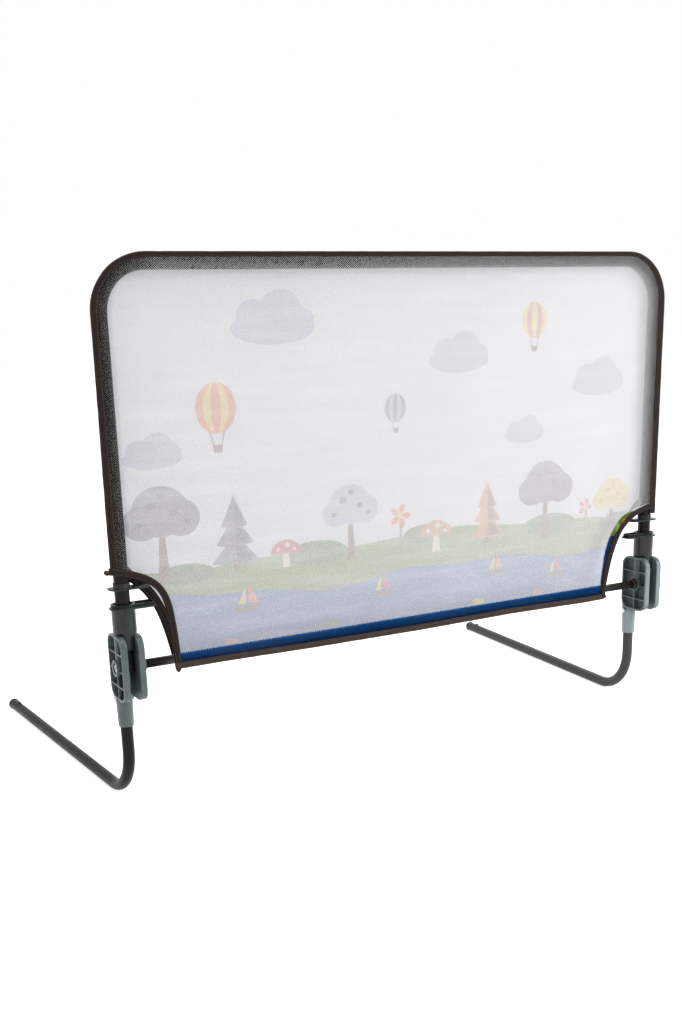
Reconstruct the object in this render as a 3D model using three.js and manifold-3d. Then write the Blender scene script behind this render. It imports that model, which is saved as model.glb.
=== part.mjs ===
// Folding bed guard rail, in millimetres. X runs along the rail, Y points to the bed, Z up.
import * as THREE from "three";
import { mergeVertices } from "three/addons/utils/BufferGeometryUtils.js";
import Module from "manifold-3d";

const wasm = await Module();
wasm.setup();

// Clearances
const slip = 0.3; // between pieces that touch
const weld = 0.001; // points closer than this are one point

// Frame: an upside-down U of steel tube
const uprightSpacing = 860;
const frameDia = 19;
const frameWall = 0.8;
const topHeight = 687.6;
const cornerRadius = 59;
const jointInset = 95; // from an upright's centre to the end of its bent tube
const swageLength = 34;
const buttonDia = 6;
const buttonRise = 1.6;
const buttonSpringLength = 20;
const buttonSpringWall = 0.9;
const buttonSetback = 16; // from the joint to the button

// Hinge
const pivotHeight = 196.7;
const boltDia = 6;
const boltHeadDia = 13;
const boltHeadHeight = 4.2;
const hexAcross = 5;
const hexDepth = 2.4;
const washerThickness = 1.2;
const washerDia = 13.6;
const plateGap = 14.4;
const plateDepth = 8.2;
const plateWidth = 55;
const plateShift = 1.5; // the plates reach further to the bed than to the room
const plateHeight = 86;
const plateCorner = 15;
const plateWall = 2.4;
const rimWidth = 2.8;
const ribWidth = 1.7;
const sideRibUpper = 20; // heights of the ribs from the hinge axis
const sideRibLower = -2;
const crossRib = -24;
const bossDia = 22;
const outerBossRise = 17.6; // from the upright's centre to the boss's face
const innerBossRise = 16;
const recessDia = 14.6;
const recessFloor = 3.2;
const columnRadius = 8;
const webFront = 16.2;
const webTop = 30;

// Leg, socket and arm
const legDia = 16;
const legWall = 3;
const legSetback = 26.8; // leg's centre behind the hinge axis
const legBendRadius = 66;
const armReach = 534; // from the hinge axis
const splay = THREE.MathUtils.degToRad(3.9);
const socketTopDia = 23;
const socketFootDia = 20;
const socketTopDrop = 34; // below the hinge axis
const socketFootDrop = 86.9;
const legTopDrop = 42;
const screwDrop = 49;
const screwDia = 4;
const screwHeadDia = 8;
const screwHeadHeight = 2.2;
const capFlangeDia = 18;
const capFlange = 1.6;
const capDome = 6;
const capPlug = 14;
const studSetback = 27;
const studDia = 7;
const studRise = 2.2;
const studStemDia = 3.4;

// Release sleeve and finger plates
const sleeveDia = 30.4;
const sleeveBore = 24.6;
const sleeveStart = 45.8; // round part, above the hinge axis
const prongStart = 25;
const prongWidth = 13.4;
const prongBore = 20;
const shoulder = 3;
const lowerGripHeight = 76.3; // above the hinge axis
const upperGripHeight = 101.7;
const gripThickness = 1.8;
const gripRadius = 18;
const lowerGripReach = 42.5;
const upperGripReach = 34;
const gripNear = 13.5; // half width to the room side
const gripFar = 9; // half width to the bed side
const gripTip = 9;
const gripWallInset = 2.4; // the plate stands out round the cup's wall
const gripWallHeight = 4.5;
const gripWall = 1.6;
const sleeveTop = 82.6;
const hubDia = 21.6;
const hubHeight = 6;
const wireDia = 1.4;
const springDia = 22;
const springTurns = 4;
const seatHeight = 3;
const springRoom = 28;

// Tongue in the upright's foot
const tongueThickness = 13.4;
const tongueWidth = 19;
const tubeFoot = 46.2; // above the hinge axis
const tonguePlug = 30;
const rivetDia = 4;
const rivetHeight = 62;

// Crossbar
const crossbarDia = 12;
const crossbarWall = 0.8;
const crossbarPlugLength = 24;
const collarDia = 18;
const collarRise = 22.6; // from the upright's centre to the collar's far face

// Cover
const cloth = 1;
const netThickness = 0.6;
const coverRadius = 9.9; // inside of the cloth round the tubes
const pocketLift = 1.5; // the pocket's centre above the crossbar's
const wrapClear = 23.6; // lower end of the sides, above the upper finger plates
const pipingClear = { left: 30.4, right: 11 };
const wrapTurn = [180, 298]; // degrees round a tube, from the middle over the room side
const pocketTurn = [180, 360]; // degrees under the crossbar
const tapeWidth = 8;
const bottomTapeWidth = 6;
const tapeThickness = 3;
const pipingWidth = 5.4;
const pipingThickness = 2.5;
const pipingOffset = 8.3; // outward and to the room side of the tube
const netInset = 4.8; // outward of the tube's centre
const netRise = 8.6; // above the hinge axis
const bottomTapeDrop = 7.5; // centre of the bottom tape, below the hinge axis
const tapeCorner = 6;
const lipWidth = 10.5;
const coverMargin = 30;
const cutOverhang = 7; // cut-outs start this far outside the uprights' centres
const nearCutLeft = { inset: 63.5, shares: [0.92, 0.133, 0.914, 0.264] };
const nearCutRight = { inset: 88.5, shares: [0.664, 0.046, 0.938, 0.414] };
const farCut = { inset: 69, shares: [0.654, 0.214, 0.808, 0.432] };
const tapeEnd = { left: [21, 25.6], right: [3, 22.6] }; // outside the uprights, above the plates
const farDrop = 1.7; // below the hinge axis

// Facets
const roundFacets = 20;
const tubeFacets = 16;
const boreFacets = 12;
const smallFacets = 10;
const wireFacets = 5;
const bendSteps = 7;
const curveSteps = 12;

const half = uprightSpacing / 2;
const top = topHeight - pivotHeight;
const armHeight = (legDia / 2) * Math.cos(Math.PI / tubeFacets);
const plateLevel = pivotHeight + upperGripHeight;
const wrapEnd = plateLevel + wrapClear;
const netFoot = pivotHeight + netRise;
const bottomTape = pivotHeight - bottomTapeDrop;
const farFoot = pivotHeight - farDrop;

const steel = { color: 0x26231f, metalness: 0.4, roughness: 0.45 };
const plastic = { color: 0x55686a, metalness: 0, roughness: 0.5 };
const bright = { color: 0xc4c7ca, metalness: 1, roughness: 0.3 };
const netCloth = { color: 0xf2f2f4, metalness: 0, roughness: 0.9 };
const printCloth = { color: 0xdfe6ea, metalness: 0, roughness: 0.8 };
const brownCloth = { color: 0x33281f, metalness: 0, roughness: 0.9 };

// Solids

function solid(geometry) {
  const bare = new THREE.BufferGeometry();
  const source = geometry.index ? geometry.toNonIndexed() : geometry;
  bare.setAttribute("position", source.getAttribute("position"));
  const merged = mergeVertices(bare, weld);
  const made = new wasm.Mesh({
    numProp: 3,
    vertProperties: merged.attributes.position.array,
    triVerts: new Uint32Array(merged.index.array),
  });
  return new wasm.Manifold(made);
}

function surface(body) {
  const made = body.getMesh();
  const geometry = new THREE.BufferGeometry();
  geometry.setAttribute("position", new THREE.BufferAttribute(made.vertProperties, 3));
  geometry.setIndex(new THREE.BufferAttribute(made.triVerts, 1));
  const flat = geometry.toNonIndexed();
  flat.computeVertexNormals();
  return flat;
}

const join = (...all) => surface(all.map(solid).reduce((a, b) => a.add(b)));
const cut = (body, ...tools) =>
  surface(tools.map(solid).reduce((a, b) => a.subtract(b), solid(body)));
const common = (...all) => surface(all.map(solid).reduce((a, b) => a.intersect(b)));

function ring(radius, count) {
  return Array.from({ length: count }, (_, i) => {
    const a = ((i + 0.5) / count) * 2 * Math.PI;
    return new THREE.Vector2(radius * Math.cos(a), radius * Math.sin(a));
  });
}

function outline(points, hole) {
  const shape = new THREE.Shape(points);
  if (hole) shape.holes.push(new THREE.Path(hole));
  return shape;
}

const tubeSection = (dia, wall, count = tubeFacets) =>
  outline(ring(dia / 2, count), ring(dia / 2 - wall, boreFacets));

// A solid of revolution about Z from [radius, height] pairs.
function turned(pairs, count = roundFacets) {
  const points = pairs.map(([r, z]) => new THREE.Vector2(r, z));
  return new THREE.LatheGeometry(points, count).rotateX(Math.PI / 2);
}

const closed = (pairs) => [...pairs, pairs[0]];

const tubePiece = (outer, inner, low, high, count) =>
  turned(closed([[inner / 2, low], [outer / 2, low], [outer / 2, high], [inner / 2, high]]), count);

const rod = (dia, low, high, count = smallFacets) =>
  turned([[0, low], [dia / 2, low], [dia / 2, high], [0, high]], count);

const alongX = (geometry) => geometry.rotateY(Math.PI / 2);

function block(x0, x1, y0, y1, z0, z1) {
  const box = new THREE.BoxGeometry(x1 - x0, y1 - y0, z1 - z0);
  return box.translate((x0 + x1) / 2, (y0 + y1) / 2, (z0 + z1) / 2);
}

const extrude = (shape, depth) =>
  new THREE.ExtrudeGeometry(shape, { depth, bevelEnabled: false, steps: 1 });

const axes = (x, y, z) => new THREE.Matrix4().makeBasis(x, y, z);
const X = new THREE.Vector3(1, 0, 0);
const Y = new THREE.Vector3(0, 1, 0);
const Z = new THREE.Vector3(0, 0, 1);

// A shape drawn in Y and Z that runs along X from x0 to x1.
const overX = (shape, x0, x1) =>
  extrude(shape, x1 - x0).applyMatrix4(axes(Y, Z, X)).translate(x0, 0, 0);

// A shape drawn in X and Z that fills y0 to y1.
const overY = (shape, y0, y1) =>
  extrude(shape, y1 - y0).applyMatrix4(axes(X, Z, Y.clone().negate())).translate(0, y1, 0);

// A path through its own points, so that straight runs take no extra steps.
class StationPath extends THREE.Curve {
  constructor(points) {
    super();
    this.points = points;
    this.tangents = points.map((p, i) => {
      const before = points[Math.max(i - 1, 0)];
      const after = points[Math.min(i + 1, points.length - 1)];
      const arriving = p.clone().sub(before).normalize();
      const leaving = after.clone().sub(p).normalize();
      return arriving.add(leaving).normalize();
    });
  }
  station(list, u) {
    return list[Math.round(u * (list.length - 1))].clone();
  }
  getPoint(u) {
    return this.station(this.points, u);
  }
  getPointAt(u) {
    return this.station(this.points, u);
  }
  getTangentAt(u) {
    return this.station(this.tangents, u);
  }
}

const sweep = (section, points) =>
  new THREE.ExtrudeGeometry(section, {
    steps: points.length - 1,
    extrudePath: new StationPath(points),
  });

const at = (x, y, z) => new THREE.Vector3(x, y, z);

// Points of a quarter bend in the plane of the unit vectors from and to.
function bend(centre, from, to, radius, steps = bendSteps) {
  return Array.from({ length: steps + 1 }, (_, i) => {
    const a = ((i / steps) * Math.PI) / 2;
    const arm = from.clone().multiplyScalar(Math.cos(a)).addScaledVector(to, Math.sin(a));
    return centre.clone().addScaledVector(arm, radius);
  });
}

function roundedBox(width, height, radius) {
  const x = width / 2 - radius;
  const y = height / 2 - radius;
  const corners = [[x, y], [-x, y], [-x, -y], [x, -y]];
  return corners.flatMap(([cx, cy], k) =>
    Array.from({ length: 5 }, (_, i) => {
      const a = ((k + i / 4) * Math.PI) / 2;
      return new THREE.Vector2(cx + radius * Math.cos(a), cy + radius * Math.sin(a));
    }),
  );
}

const piece = (name, geometry, look) => {
  const mesh = new THREE.Mesh(geometry, new THREE.MeshStandardMaterial(look));
  mesh.name = name;
  return mesh;
};

// Side pieces: X is outward from the upright's centre, Z is measured from the hinge axis.

function frameTube() {
  const straight = top - cornerRadius;
  const centre = at(-cornerRadius, 0, straight);
  const path = [
    at(0, 0, tubeFoot),
    ...bend(centre, X, Z, cornerRadius),
    at(-jointInset, 0, top),
  ];
  const body = sweep(tubeSection(frameDia, frameWall), path);
  const buttonHole = rod(buttonDia + 2 * slip, -frameDia, 0).translate(
    buttonSetback - jointInset, 0, top);
  const rivetHole = rod(rivetDia + 2 * slip, -frameDia, frameDia)
    .rotateX(Math.PI / 2).translate(0, 0, rivetHeight);
  return cut(body, buttonHole, rivetHole);
}

// The button sits in the narrowed end of the top tube and rises through both walls.
function snapButton() {
  const x = buttonSetback - jointInset;
  const inside = frameDia / 2 - 2 * frameWall - 2 * slip;
  const button = turned([
    [0, -frameDia / 2 - buttonRise],
    [buttonDia / 3, -frameDia / 2 - buttonRise],
    [buttonDia / 2, -frameDia / 2],
    [buttonDia / 2, -inside + buttonSpringWall],
    [0, -inside + buttonSpringWall],
  ], smallFacets).translate(x, 0, top);
  const flat = buttonDia / 3;
  const leaf = block(x - buttonSpringLength, x + flat, -flat, flat,
    top - inside + 3 * slip, top - inside + 3 * slip + buttonSpringWall);
  return join(button, leaf);
}

function hingeTongue() {
  const plugDia = frameDia - 2 * frameWall - 2 * slip;
  const neck = tubeFoot - slip;
  const t = tongueThickness / 2;
  const w = tongueWidth / 2;
  const eye = alongX(rod(tongueWidth, -t, t, roundFacets));
  const shank = block(-t, t, -w, w, 0, neck);
  const flat = common(join(eye, shank), rod(tongueWidth, -w, neck, roundFacets));
  const plug = rod(plugDia, neck - slip, neck + tonguePlug, tubeFacets);
  const boltHole = alongX(rod(boltDia + 2 * slip, -frameDia, frameDia));
  const rivetHole = rod(rivetDia + 2 * slip, -frameDia, frameDia)
    .rotateX(Math.PI / 2).translate(0, 0, rivetHeight);
  return cut(join(flat, plug), boltHole, rivetHole);
}

const tongueRivet = () =>
  rod(rivetDia, -frameDia / 2, frameDia / 2, smallFacets)
    .rotateX(Math.PI / 2).translate(0, 0, rivetHeight);

// A finger plate round the upright, with a handle that points along the rail.
function gripShape(reach, inset = 0) {
  const count = roundFacets / 2;
  const tip = gripTip - inset;
  const near = -gripNear + inset;
  const far = gripFar - inset;
  const start = -reach + inset;
  const outer = gripRadius - inset;
  const points = [];
  const a0 = Math.asin(near / outer);
  const a1 = Math.asin(far / outer);
  for (let i = 0; i <= count; i++) {
    const a = a0 + ((a1 - a0) * i) / count;
    points.push(new THREE.Vector2(outer * Math.cos(a), outer * Math.sin(a)));
  }
  for (let i = 0; i <= 4; i++) {
    const a = Math.PI / 2 + ((i / 4) * Math.PI) / 2;
    points.push(new THREE.Vector2(start + tip + tip * Math.cos(a), far - tip + tip * Math.sin(a)));
  }
  for (let i = 0; i <= 4; i++) {
    const a = Math.PI + ((i / 4) * Math.PI) / 2;
    points.push(new THREE.Vector2(start + tip + tip * Math.cos(a), near + tip + tip * Math.sin(a)));
  }
  return points;
}

function upperGrip() {
  const plate = extrude(outline(gripShape(upperGripReach)), gripThickness)
    .translate(0, 0, upperGripHeight);
  const hub = rod(hubDia, upperGripHeight, upperGripHeight + gripThickness + hubHeight, roundFacets);
  const bore = rod(frameDia + 2 * slip, 0, top, tubeFacets);
  return cut(join(plate, hub), bore);
}

function releaseSleeve() {
  const tall = sleeveTop - prongStart;
  const body = rod(sleeveDia, prongStart, sleeveTop, roundFacets);
  const plate = extrude(outline(gripShape(lowerGripReach)), gripThickness)
    .translate(0, 0, lowerGripHeight);
  const wall = extrude(
    outline(gripShape(lowerGripReach, gripWallInset),
      gripShape(lowerGripReach, gripWallInset + gripWall)),
    gripWallHeight + slip,
  ).translate(0, 0, lowerGripHeight + gripThickness - slip);
  const side = sleeveDia;
  const cheek = block(prongWidth / 2, side, -side, side, prongStart - slip, sleeveStart);
  const otherCheek = cheek.clone().translate(-prongWidth / 2 - side, 0, 0);
  const slot = block(-side, side, -prongBore / 2, prongBore / 2, prongStart - slip, sleeveStart);
  const throat = rod(prongBore, prongStart - slip, sleeveTop + slip, roundFacets);
  const chamber = rod(sleeveBore, sleeveStart + shoulder, prongStart + tall + slip, roundFacets);
  return cut(join(body, plate, wall), cheek, otherCheek, slot, throat, chamber);
}

function springSeat() {
  const low = sleeveStart + shoulder + springRoom + 2 * slip;
  return tubePiece(sleeveBore - 2 * slip, frameDia + 2 * slip, low, low + seatHeight);
}

function returnSpring() {
  const start = sleeveStart + shoulder + slip + wireDia / 2;
  const rise = springRoom - wireDia;
  const steps = springTurns * smallFacets;
  const points = Array.from({ length: steps + 1 }, (_, i) => {
    const a = (i / smallFacets) * 2 * Math.PI;
    return at((springDia / 2) * Math.cos(a), (springDia / 2) * Math.sin(a), start + (rise * i) / steps);
  });
  return sweep(outline(ring(wireDia / 2, wireFacets)), points);
}

// One hinge plate in Y and Z, its ribs facing +X, its flat face on X = 0.
function hingePlate(bossRise, shift) {
  const moved = (points) => points.map((p) => p.add(new THREE.Vector2(shift, 0)));
  const outer = moved(roundedBox(plateWidth, plateHeight, plateCorner));
  const inner = moved(roundedBox(plateWidth - 2 * rimWidth, plateHeight - 2 * rimWidth,
    plateCorner - rimWidth));
  const w = plateWidth / 2 - rimWidth / 2;
  const h = plateHeight / 2 - rimWidth / 2;
  const rib = (y0, y1, z0, z1) => block(0, plateDepth - slip, y0, y1, z0, z1);
  const r = ribWidth / 2;
  const boss = alongX(rod(bossDia, 0, bossRise - plateGap / 2, roundFacets));
  const column = common(
    rod(2 * columnRadius, 0, h, roundFacets),
    block(0, plateDepth, -columnRadius, columnRadius, 0, h),
  );
  return join(
    overX(outline(outer), 0, plateWall),
    overX(outline(outer, inner), 0, plateDepth),
    boss,
    column,
    rib(shift - w, shift + w, sideRibUpper - r, sideRibUpper + r),
    rib(shift - w, shift + w, sideRibLower - r, sideRibLower + r),
    rib(shift - w, shift + w, crossRib - r, crossRib + r),
    rib(-r, r, -h, 0),
  );
}

function bracket() {
  const face = plateGap / 2;
  const outer = hingePlate(outerBossRise, plateShift).translate(face, 0, 0);
  const inner = hingePlate(innerBossRise, -plateShift).rotateZ(Math.PI).translate(-face, 0, 0);
  const web = block(-face - slip, face + slip, webFront, plateShift + plateWidth / 2 - slip,
    -plateHeight / 2 + plateCorner / 2, webTop);
  const socket = turned([
    [0, -socketFootDrop],
    [socketFootDia / 2, -socketFootDrop],
    [socketTopDia / 2, -socketTopDrop],
    [0, -socketTopDrop],
  ]).translate(0, legSetback, 0);
  const legHole = rod(legDia + 2 * slip, -socketFootDrop - slip, slip - legTopDrop, roundFacets)
    .translate(0, legSetback, 0);
  const boltHole = alongX(rod(boltDia + 2 * slip, -innerBossRise - slip, outerBossRise + slip));
  const headRecess = alongX(rod(recessDia, face + recessFloor, outerBossRise + slip, roundFacets));
  const barRecess = alongX(rod(recessDia, -innerBossRise - slip, -face - recessFloor, roundFacets));
  const screwHole = alongX(rod(screwDia + 2 * slip, -socketTopDia, socketTopDia))
    .translate(0, legSetback, -screwDrop);
  const body = join(outer, inner, web, socket);
  return cut(body, legHole, boltHole, headRecess, barRecess, screwHole);
}

function pivotBolt() {
  const seat = plateGap / 2 + recessFloor + washerThickness + 2 * slip;
  const reach = -innerBossRise - crossbarPlugLength / 2;
  const shank = turned([
    [0, reach],
    [boltDia / 2, reach],
    [boltDia / 2, seat],
    [boltHeadDia / 2, seat],
    [boltHeadDia / 2, seat + boltHeadHeight / 2],
    [boltHeadDia / 2.6, seat + boltHeadHeight],
    [0, seat + boltHeadHeight],
  ]);
  const hex = rod(hexAcross, seat + boltHeadHeight - hexDepth, seat + boltHeadHeight + slip, 6);
  return cut(alongX(shank), alongX(hex));
}

function boltWasher() {
  const seat = plateGap / 2 + recessFloor + slip;
  return alongX(tubePiece(washerDia, boltDia + 2 * slip, seat, seat + washerThickness));
}

const barEnd = plateGap / 2 + recessFloor + slip;

function crossbarPlug() {
  const dia = crossbarDia - 2 * crossbarWall - 2 * slip;
  return alongX(tubePiece(dia, boltDia + 2 * slip, -barEnd - crossbarPlugLength, -barEnd, tubeFacets));
}

const barCollar = () =>
  alongX(tubePiece(collarDia, crossbarDia + 2 * slip, -collarRise, -innerBossRise - slip));

// The leg is built straight back and then turned outward by the splay.
const splayed = (geometry) =>
  geometry.translate(0, -legSetback, 0).rotateZ(-splay).translate(0, legSetback, 0);

const armLevel = armHeight - pivotHeight;

function leg() {
  const down = Z.clone().negate();
  const centre = at(0, legSetback + legBendRadius, armLevel + legBendRadius);
  const path = [
    at(0, legSetback, -legTopDrop),
    ...bend(centre, Y.clone().negate(), down, legBendRadius),
    at(0, armReach, armLevel),
  ];
  const body = splayed(sweep(tubeSection(legDia, legWall), path));
  const screwHole = alongX(rod(screwDia + 2 * slip, -legDia, legDia))
    .translate(0, legSetback, -screwDrop);
  const studHole = splayed(rod(studStemDia + 2 * slip, 0, legDia)
    .translate(0, armReach - studSetback, armLevel));
  return cut(body, screwHole, studHole);
}

function armCap() {
  const y = armReach + slip;
  const r = legDia / 2;
  const plug = r - legWall - slip - slip;
  const dome = turned([
    [0, -capPlug],
    [plug, -capPlug],
    [plug, 0],
    [capFlangeDia / 2, 0],
    [capFlangeDia / 2, capFlange],
    [r, capFlange],
    [r * 0.86, capFlange + capDome * 0.6],
    [r * 0.5, capFlange + capDome * 0.92],
    [0, capFlange + capDome],
  ], tubeFacets).rotateX(-Math.PI / 2).translate(0, y, armLevel);
  const room = 2 * capFlangeDia;
  const under = block(-room, room, y - room, y + room, -pivotHeight - room, -pivotHeight);
  return splayed(cut(dome, under));
}

function armStud() {
  const r = legDia / 2;
  const head = turned([
    [0, r - 2 * legWall],
    [studStemDia / 2, r - 2 * legWall],
    [studStemDia / 2, r + slip],
    [studDia / 2, r + slip],
    [studDia / 2, r + slip + studRise / 2],
    [studDia / 3, r + slip + studRise],
    [0, r + slip + studRise],
  ], smallFacets);
  return splayed(head.translate(0, armReach - studSetback, armLevel));
}

function socketScrew() {
  const out = socketTopDia / 2;
  const screw = turned([
    [0, -out - screwHeadHeight],
    [screwHeadDia / 2, -out - screwHeadHeight],
    [screwHeadDia / 2, -out],
    [screwDia / 2, -out],
    [screwDia / 2, out],
    [screwHeadDia / 2, out],
    [screwHeadDia / 2, out + screwHeadHeight / 2],
    [screwHeadDia / 4, out + screwHeadHeight],
    [0, out + screwHeadHeight],
  ], smallFacets);
  return alongX(screw).translate(0, legSetback, -screwDrop);
}

function hingeSide(name) {
  const side = new THREE.Group();
  side.add(
    piece("leg_" + name, leg(), steel),
    piece("arm_cap_" + name, armCap(), plastic),
    piece("arm_stud_" + name, armStud(), plastic),
    piece("bracket_" + name, bracket(), plastic),
    piece("socket_screw_" + name, socketScrew(), bright),
    piece("pivot_bolt_" + name, pivotBolt(), bright),
    piece("bolt_washer_" + name, boltWasher(), bright),
    piece("crossbar_plug_" + name, crossbarPlug(), bright),
    piece("crossbar_collar_" + name, barCollar(), plastic),
    piece("frame_tube_" + name, frameTube(), steel),
    piece("snap_button_" + name, snapButton(), bright),
    piece("hinge_tongue_" + name, hingeTongue(), plastic),
    piece("tongue_rivet_" + name, tongueRivet(), bright),
    piece("upper_grip_" + name, upperGrip(), plastic),
    piece("spring_seat_" + name, springSeat(), plastic),
    piece("spring_" + name, returnSpring(), bright),
    piece("release_sleeve_" + name, releaseSleeve(), plastic),
  );
  return side;
}

// Pieces that run across, with X from the middle of the rail and Z from the floor.

function crossbar() {
  const reach = half - barEnd;
  const bar = tubePiece(crossbarDia, crossbarDia - 2 * crossbarWall, -reach, reach, tubeFacets);
  return alongX(bar).translate(0, 0, pivotHeight);
}

function topTube() {
  const end = half - jointInset - slip;
  const reach = end + swageLength;
  const r = frameDia / 2;
  const s = r - frameWall - slip;
  const profile = closed([
    [s - frameWall, -reach],
    [s, -reach],
    [s, -end],
    [r, -end],
    [r, end],
    [s, end],
    [s, reach],
    [s - frameWall, reach],
  ]);
  const body = alongX(turned(profile, tubeFacets));
  const hole = (x) => rod(buttonDia + 2 * slip, -frameDia, 0).translate(x, 0, 0);
  const x = half - jointInset + buttonSetback;
  return cut(body, hole(x), hole(-x)).translate(0, 0, topHeight);
}

const cornerOf = (cutOut) => half - cutOut.inset;

// A cut-out's edge from the side's lower end to the corner, for one side of the rail.
function cutoutEdge(sign, { inset, shares }, foot) {
  const wide = cutOverhang + inset;
  const tall = wrapEnd - foot;
  const start = half + cutOverhang;
  const place = (u, v) => new THREE.Vector2(sign * (start - wide * u), wrapEnd - tall * v);
  const [u1, v1, u2, v2] = shares;
  const curve = new THREE.CubicBezierCurve(place(0, 0), place(u1, v1), place(u2, v2), place(1, 1));
  return curve.getPoints(curveSteps);
}

// The same line moved towards the middle of the rail.
function inward(points, sign, distance) {
  return points.map((p, i) => {
    const before = points[Math.max(i - 1, 0)];
    const after = points[Math.min(i + 1, points.length - 1)];
    const along = after.clone().sub(before).normalize();
    return new THREE.Vector2(p.x + sign * along.y * distance, p.y - sign * along.x * distance);
  });
}

// What a cut-out takes away, beyond the given edge.
function cutter(points, sign, y0, y1) {
  const first = points[0];
  const last = points[points.length - 1];
  const out = sign * (half + coverMargin);
  const low = last.y - coverMargin;
  const border = [
    new THREE.Vector2(out, first.y),
    ...points,
    new THREE.Vector2(last.x, low),
    new THREE.Vector2(out, low),
  ];
  if (sign > 0) border.reverse();
  return overY(outline(border), y0, y1);
}

// The panel inside the U of the tubes, grown past their centres.
function panelOutline(grow, foot) {
  const x = half + grow;
  const r = cornerRadius + grow;
  const z = topHeight + grow - r;
  const arc = (cx, a0) =>
    Array.from({ length: bendSteps + 1 }, (_, i) => {
      const a = a0 + ((i / bendSteps) * Math.PI) / 2;
      return new THREE.Vector2(cx + r * Math.cos(a), z + r * Math.sin(a));
    });
  return [
    new THREE.Vector2(-x, foot),
    new THREE.Vector2(x, foot),
    ...arc(x - r, 0),
    ...arc(r - x, Math.PI / 2),
  ];
}

// The path of the frame tubes above the given lower ends.
function framePath(leftEnd, rightEnd) {
  const z = topHeight - cornerRadius;
  const x = half - cornerRadius;
  const left = bend(at(-x, 0, z), X.clone().negate(), Z, cornerRadius);
  const right = bend(at(x, 0, z), Z, X, cornerRadius);
  return [at(-half, 0, leftEnd), ...left, ...right, at(half, 0, rightEnd)];
}

// Part of a round wall as a flat section: angles in degrees, first to last.
function arcWall(radius, thickness, first, last, count) {
  const points = (r) =>
    Array.from({ length: count + 1 }, (_, i) => {
      const a = THREE.MathUtils.degToRad(first + ((last - first) * i) / count);
      return new THREE.Vector2(r * Math.cos(a), r * Math.sin(a));
    });
  return [...points(radius + thickness), ...points(radius).reverse()];
}

function flatSection(wide, thick) {
  const w = wide / 2;
  const t = thick / 2;
  const c = thick / 4;
  return [[-t, -w + c], [-t + c, -w], [t - c, -w], [t, -w + c], [t, w - c], [t - c, w], [-t + c, w],
    [-t, w - c]].map(([x, y]) => new THREE.Vector2(x, y));
}

const nearPlane = -coverRadius - cloth;
const pocketCentre = pivotHeight + pocketLift;

// The near cut-outs' edges, out to where the tape ends beside the uprights.
function nearEdges() {
  const foot = bottomTape + tapeCorner;
  const [leftOut, leftRise] = tapeEnd.left;
  const [rightOut, rightRise] = tapeEnd.right;
  const leftEnd = new THREE.Vector2(-half - leftOut, plateLevel + leftRise);
  const rightEnd = new THREE.Vector2(half + rightOut, plateLevel + rightRise);
  return {
    left: [leftEnd, ...cutoutEdge(-1, nearCutLeft, foot)],
    right: [rightEnd, ...cutoutEdge(1, nearCutRight, foot).slice(1)],
  };
}

function coverPrint() {
  const edges = nearEdges();
  const gap = tapeWidth / 2 + slip;
  const far = overY(outline(panelOutline(0, pocketCentre)), coverRadius, coverRadius + cloth);
  const wrap = sweep(outline(arcWall(coverRadius, cloth, ...wrapTurn, 8)), framePath(wrapEnd, wrapEnd));
  const x0 = -cornerOf(nearCutLeft) + gap;
  const x1 = cornerOf(nearCutRight) - gap;
  const pocket = overX(outline(arcWall(coverRadius, cloth, ...pocketTurn, 14)), x0, x1)
    .translate(0, 0, pocketCentre);
  const strip = block(x0, x1, nearPlane, -coverRadius, pocketCentre - slip, netFoot - slip);
  const lipOuter = inward(edges.right, 1, gap).slice(1);
  const lipInner = inward(edges.right, 1, gap + lipWidth - tapeWidth / 2).slice(1);
  const lip = overY(outline([...lipOuter, ...lipInner.reverse()].reverse()), nearPlane, -coverRadius);
  const room = coverRadius + coverMargin;
  const farCuts = [-1, 1].map((sign) =>
    cutter(inward(cutoutEdge(sign, farCut, farFoot), sign, gap), sign, 0, room));
  const nearCuts = [
    cutter(inward(edges.left, -1, gap), -1, -room, slip),
    cutter(inward(edges.right, 1, gap), 1, -room, slip),
  ];
  return cut(join(far, wrap, pocket, strip, lip), ...farCuts, ...nearCuts);
}

function coverNet() {
  const edges = nearEdges();
  const near = nearPlane + cloth - netThickness - slip;
  const sheet = overY(outline(panelOutline(netInset, netFoot)), near, near + netThickness);
  const gap = tapeWidth / 2 + slip;
  const room = coverRadius + coverMargin;
  const left = cutter(inward(edges.left, -1, gap), -1, -room, 0);
  const right = cutter(inward(edges.right, 1, gap + lipWidth - tapeWidth / 2 + slip), 1, -room, 0);
  return cut(sheet, left, right);
}

function pipingTape() {
  const section = flatSection(pipingWidth, pipingThickness)
    .map((p) => p.rotateAround(new THREE.Vector2(), -Math.PI / 4)
      .add(new THREE.Vector2(pipingOffset, -pipingOffset)));
  const ends = [plateLevel + pipingClear.left, plateLevel + pipingClear.right];
  return sweep(outline(section), framePath(...ends));
}

// Wide along the cut-outs and narrow along the bottom.
function nearTape() {
  const edges = nearEdges();
  const y = nearPlane - slip - slip / 2;
  const lift = (p) => at(p.x, y, p.y);
  const z = bottomTape + tapeCorner;
  const down = Z.clone().negate();
  const leftCentre = at(tapeCorner - cornerOf(nearCutLeft), y, z);
  const rightCentre = at(cornerOf(nearCutRight) - tapeCorner, y, z);
  const left = bend(leftCentre, X.clone().negate(), down, tapeCorner, 4);
  const right = bend(rightCentre, down, X, tapeCorner, 4);
  const wide = outline(flatSection(tapeWidth, tapeThickness));
  const narrow = outline(flatSection(bottomTapeWidth, tapeThickness));
  const leftPart = [...edges.left.slice(0, -1).map(lift), ...left.slice(0, 2)];
  const rightPart = [...right.slice(-2), ...edges.right.slice(0, -1).reverse().map(lift)];
  return join(sweep(wide, leftPart), sweep(narrow, [...left, ...right]), sweep(wide, rightPart));
}

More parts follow.
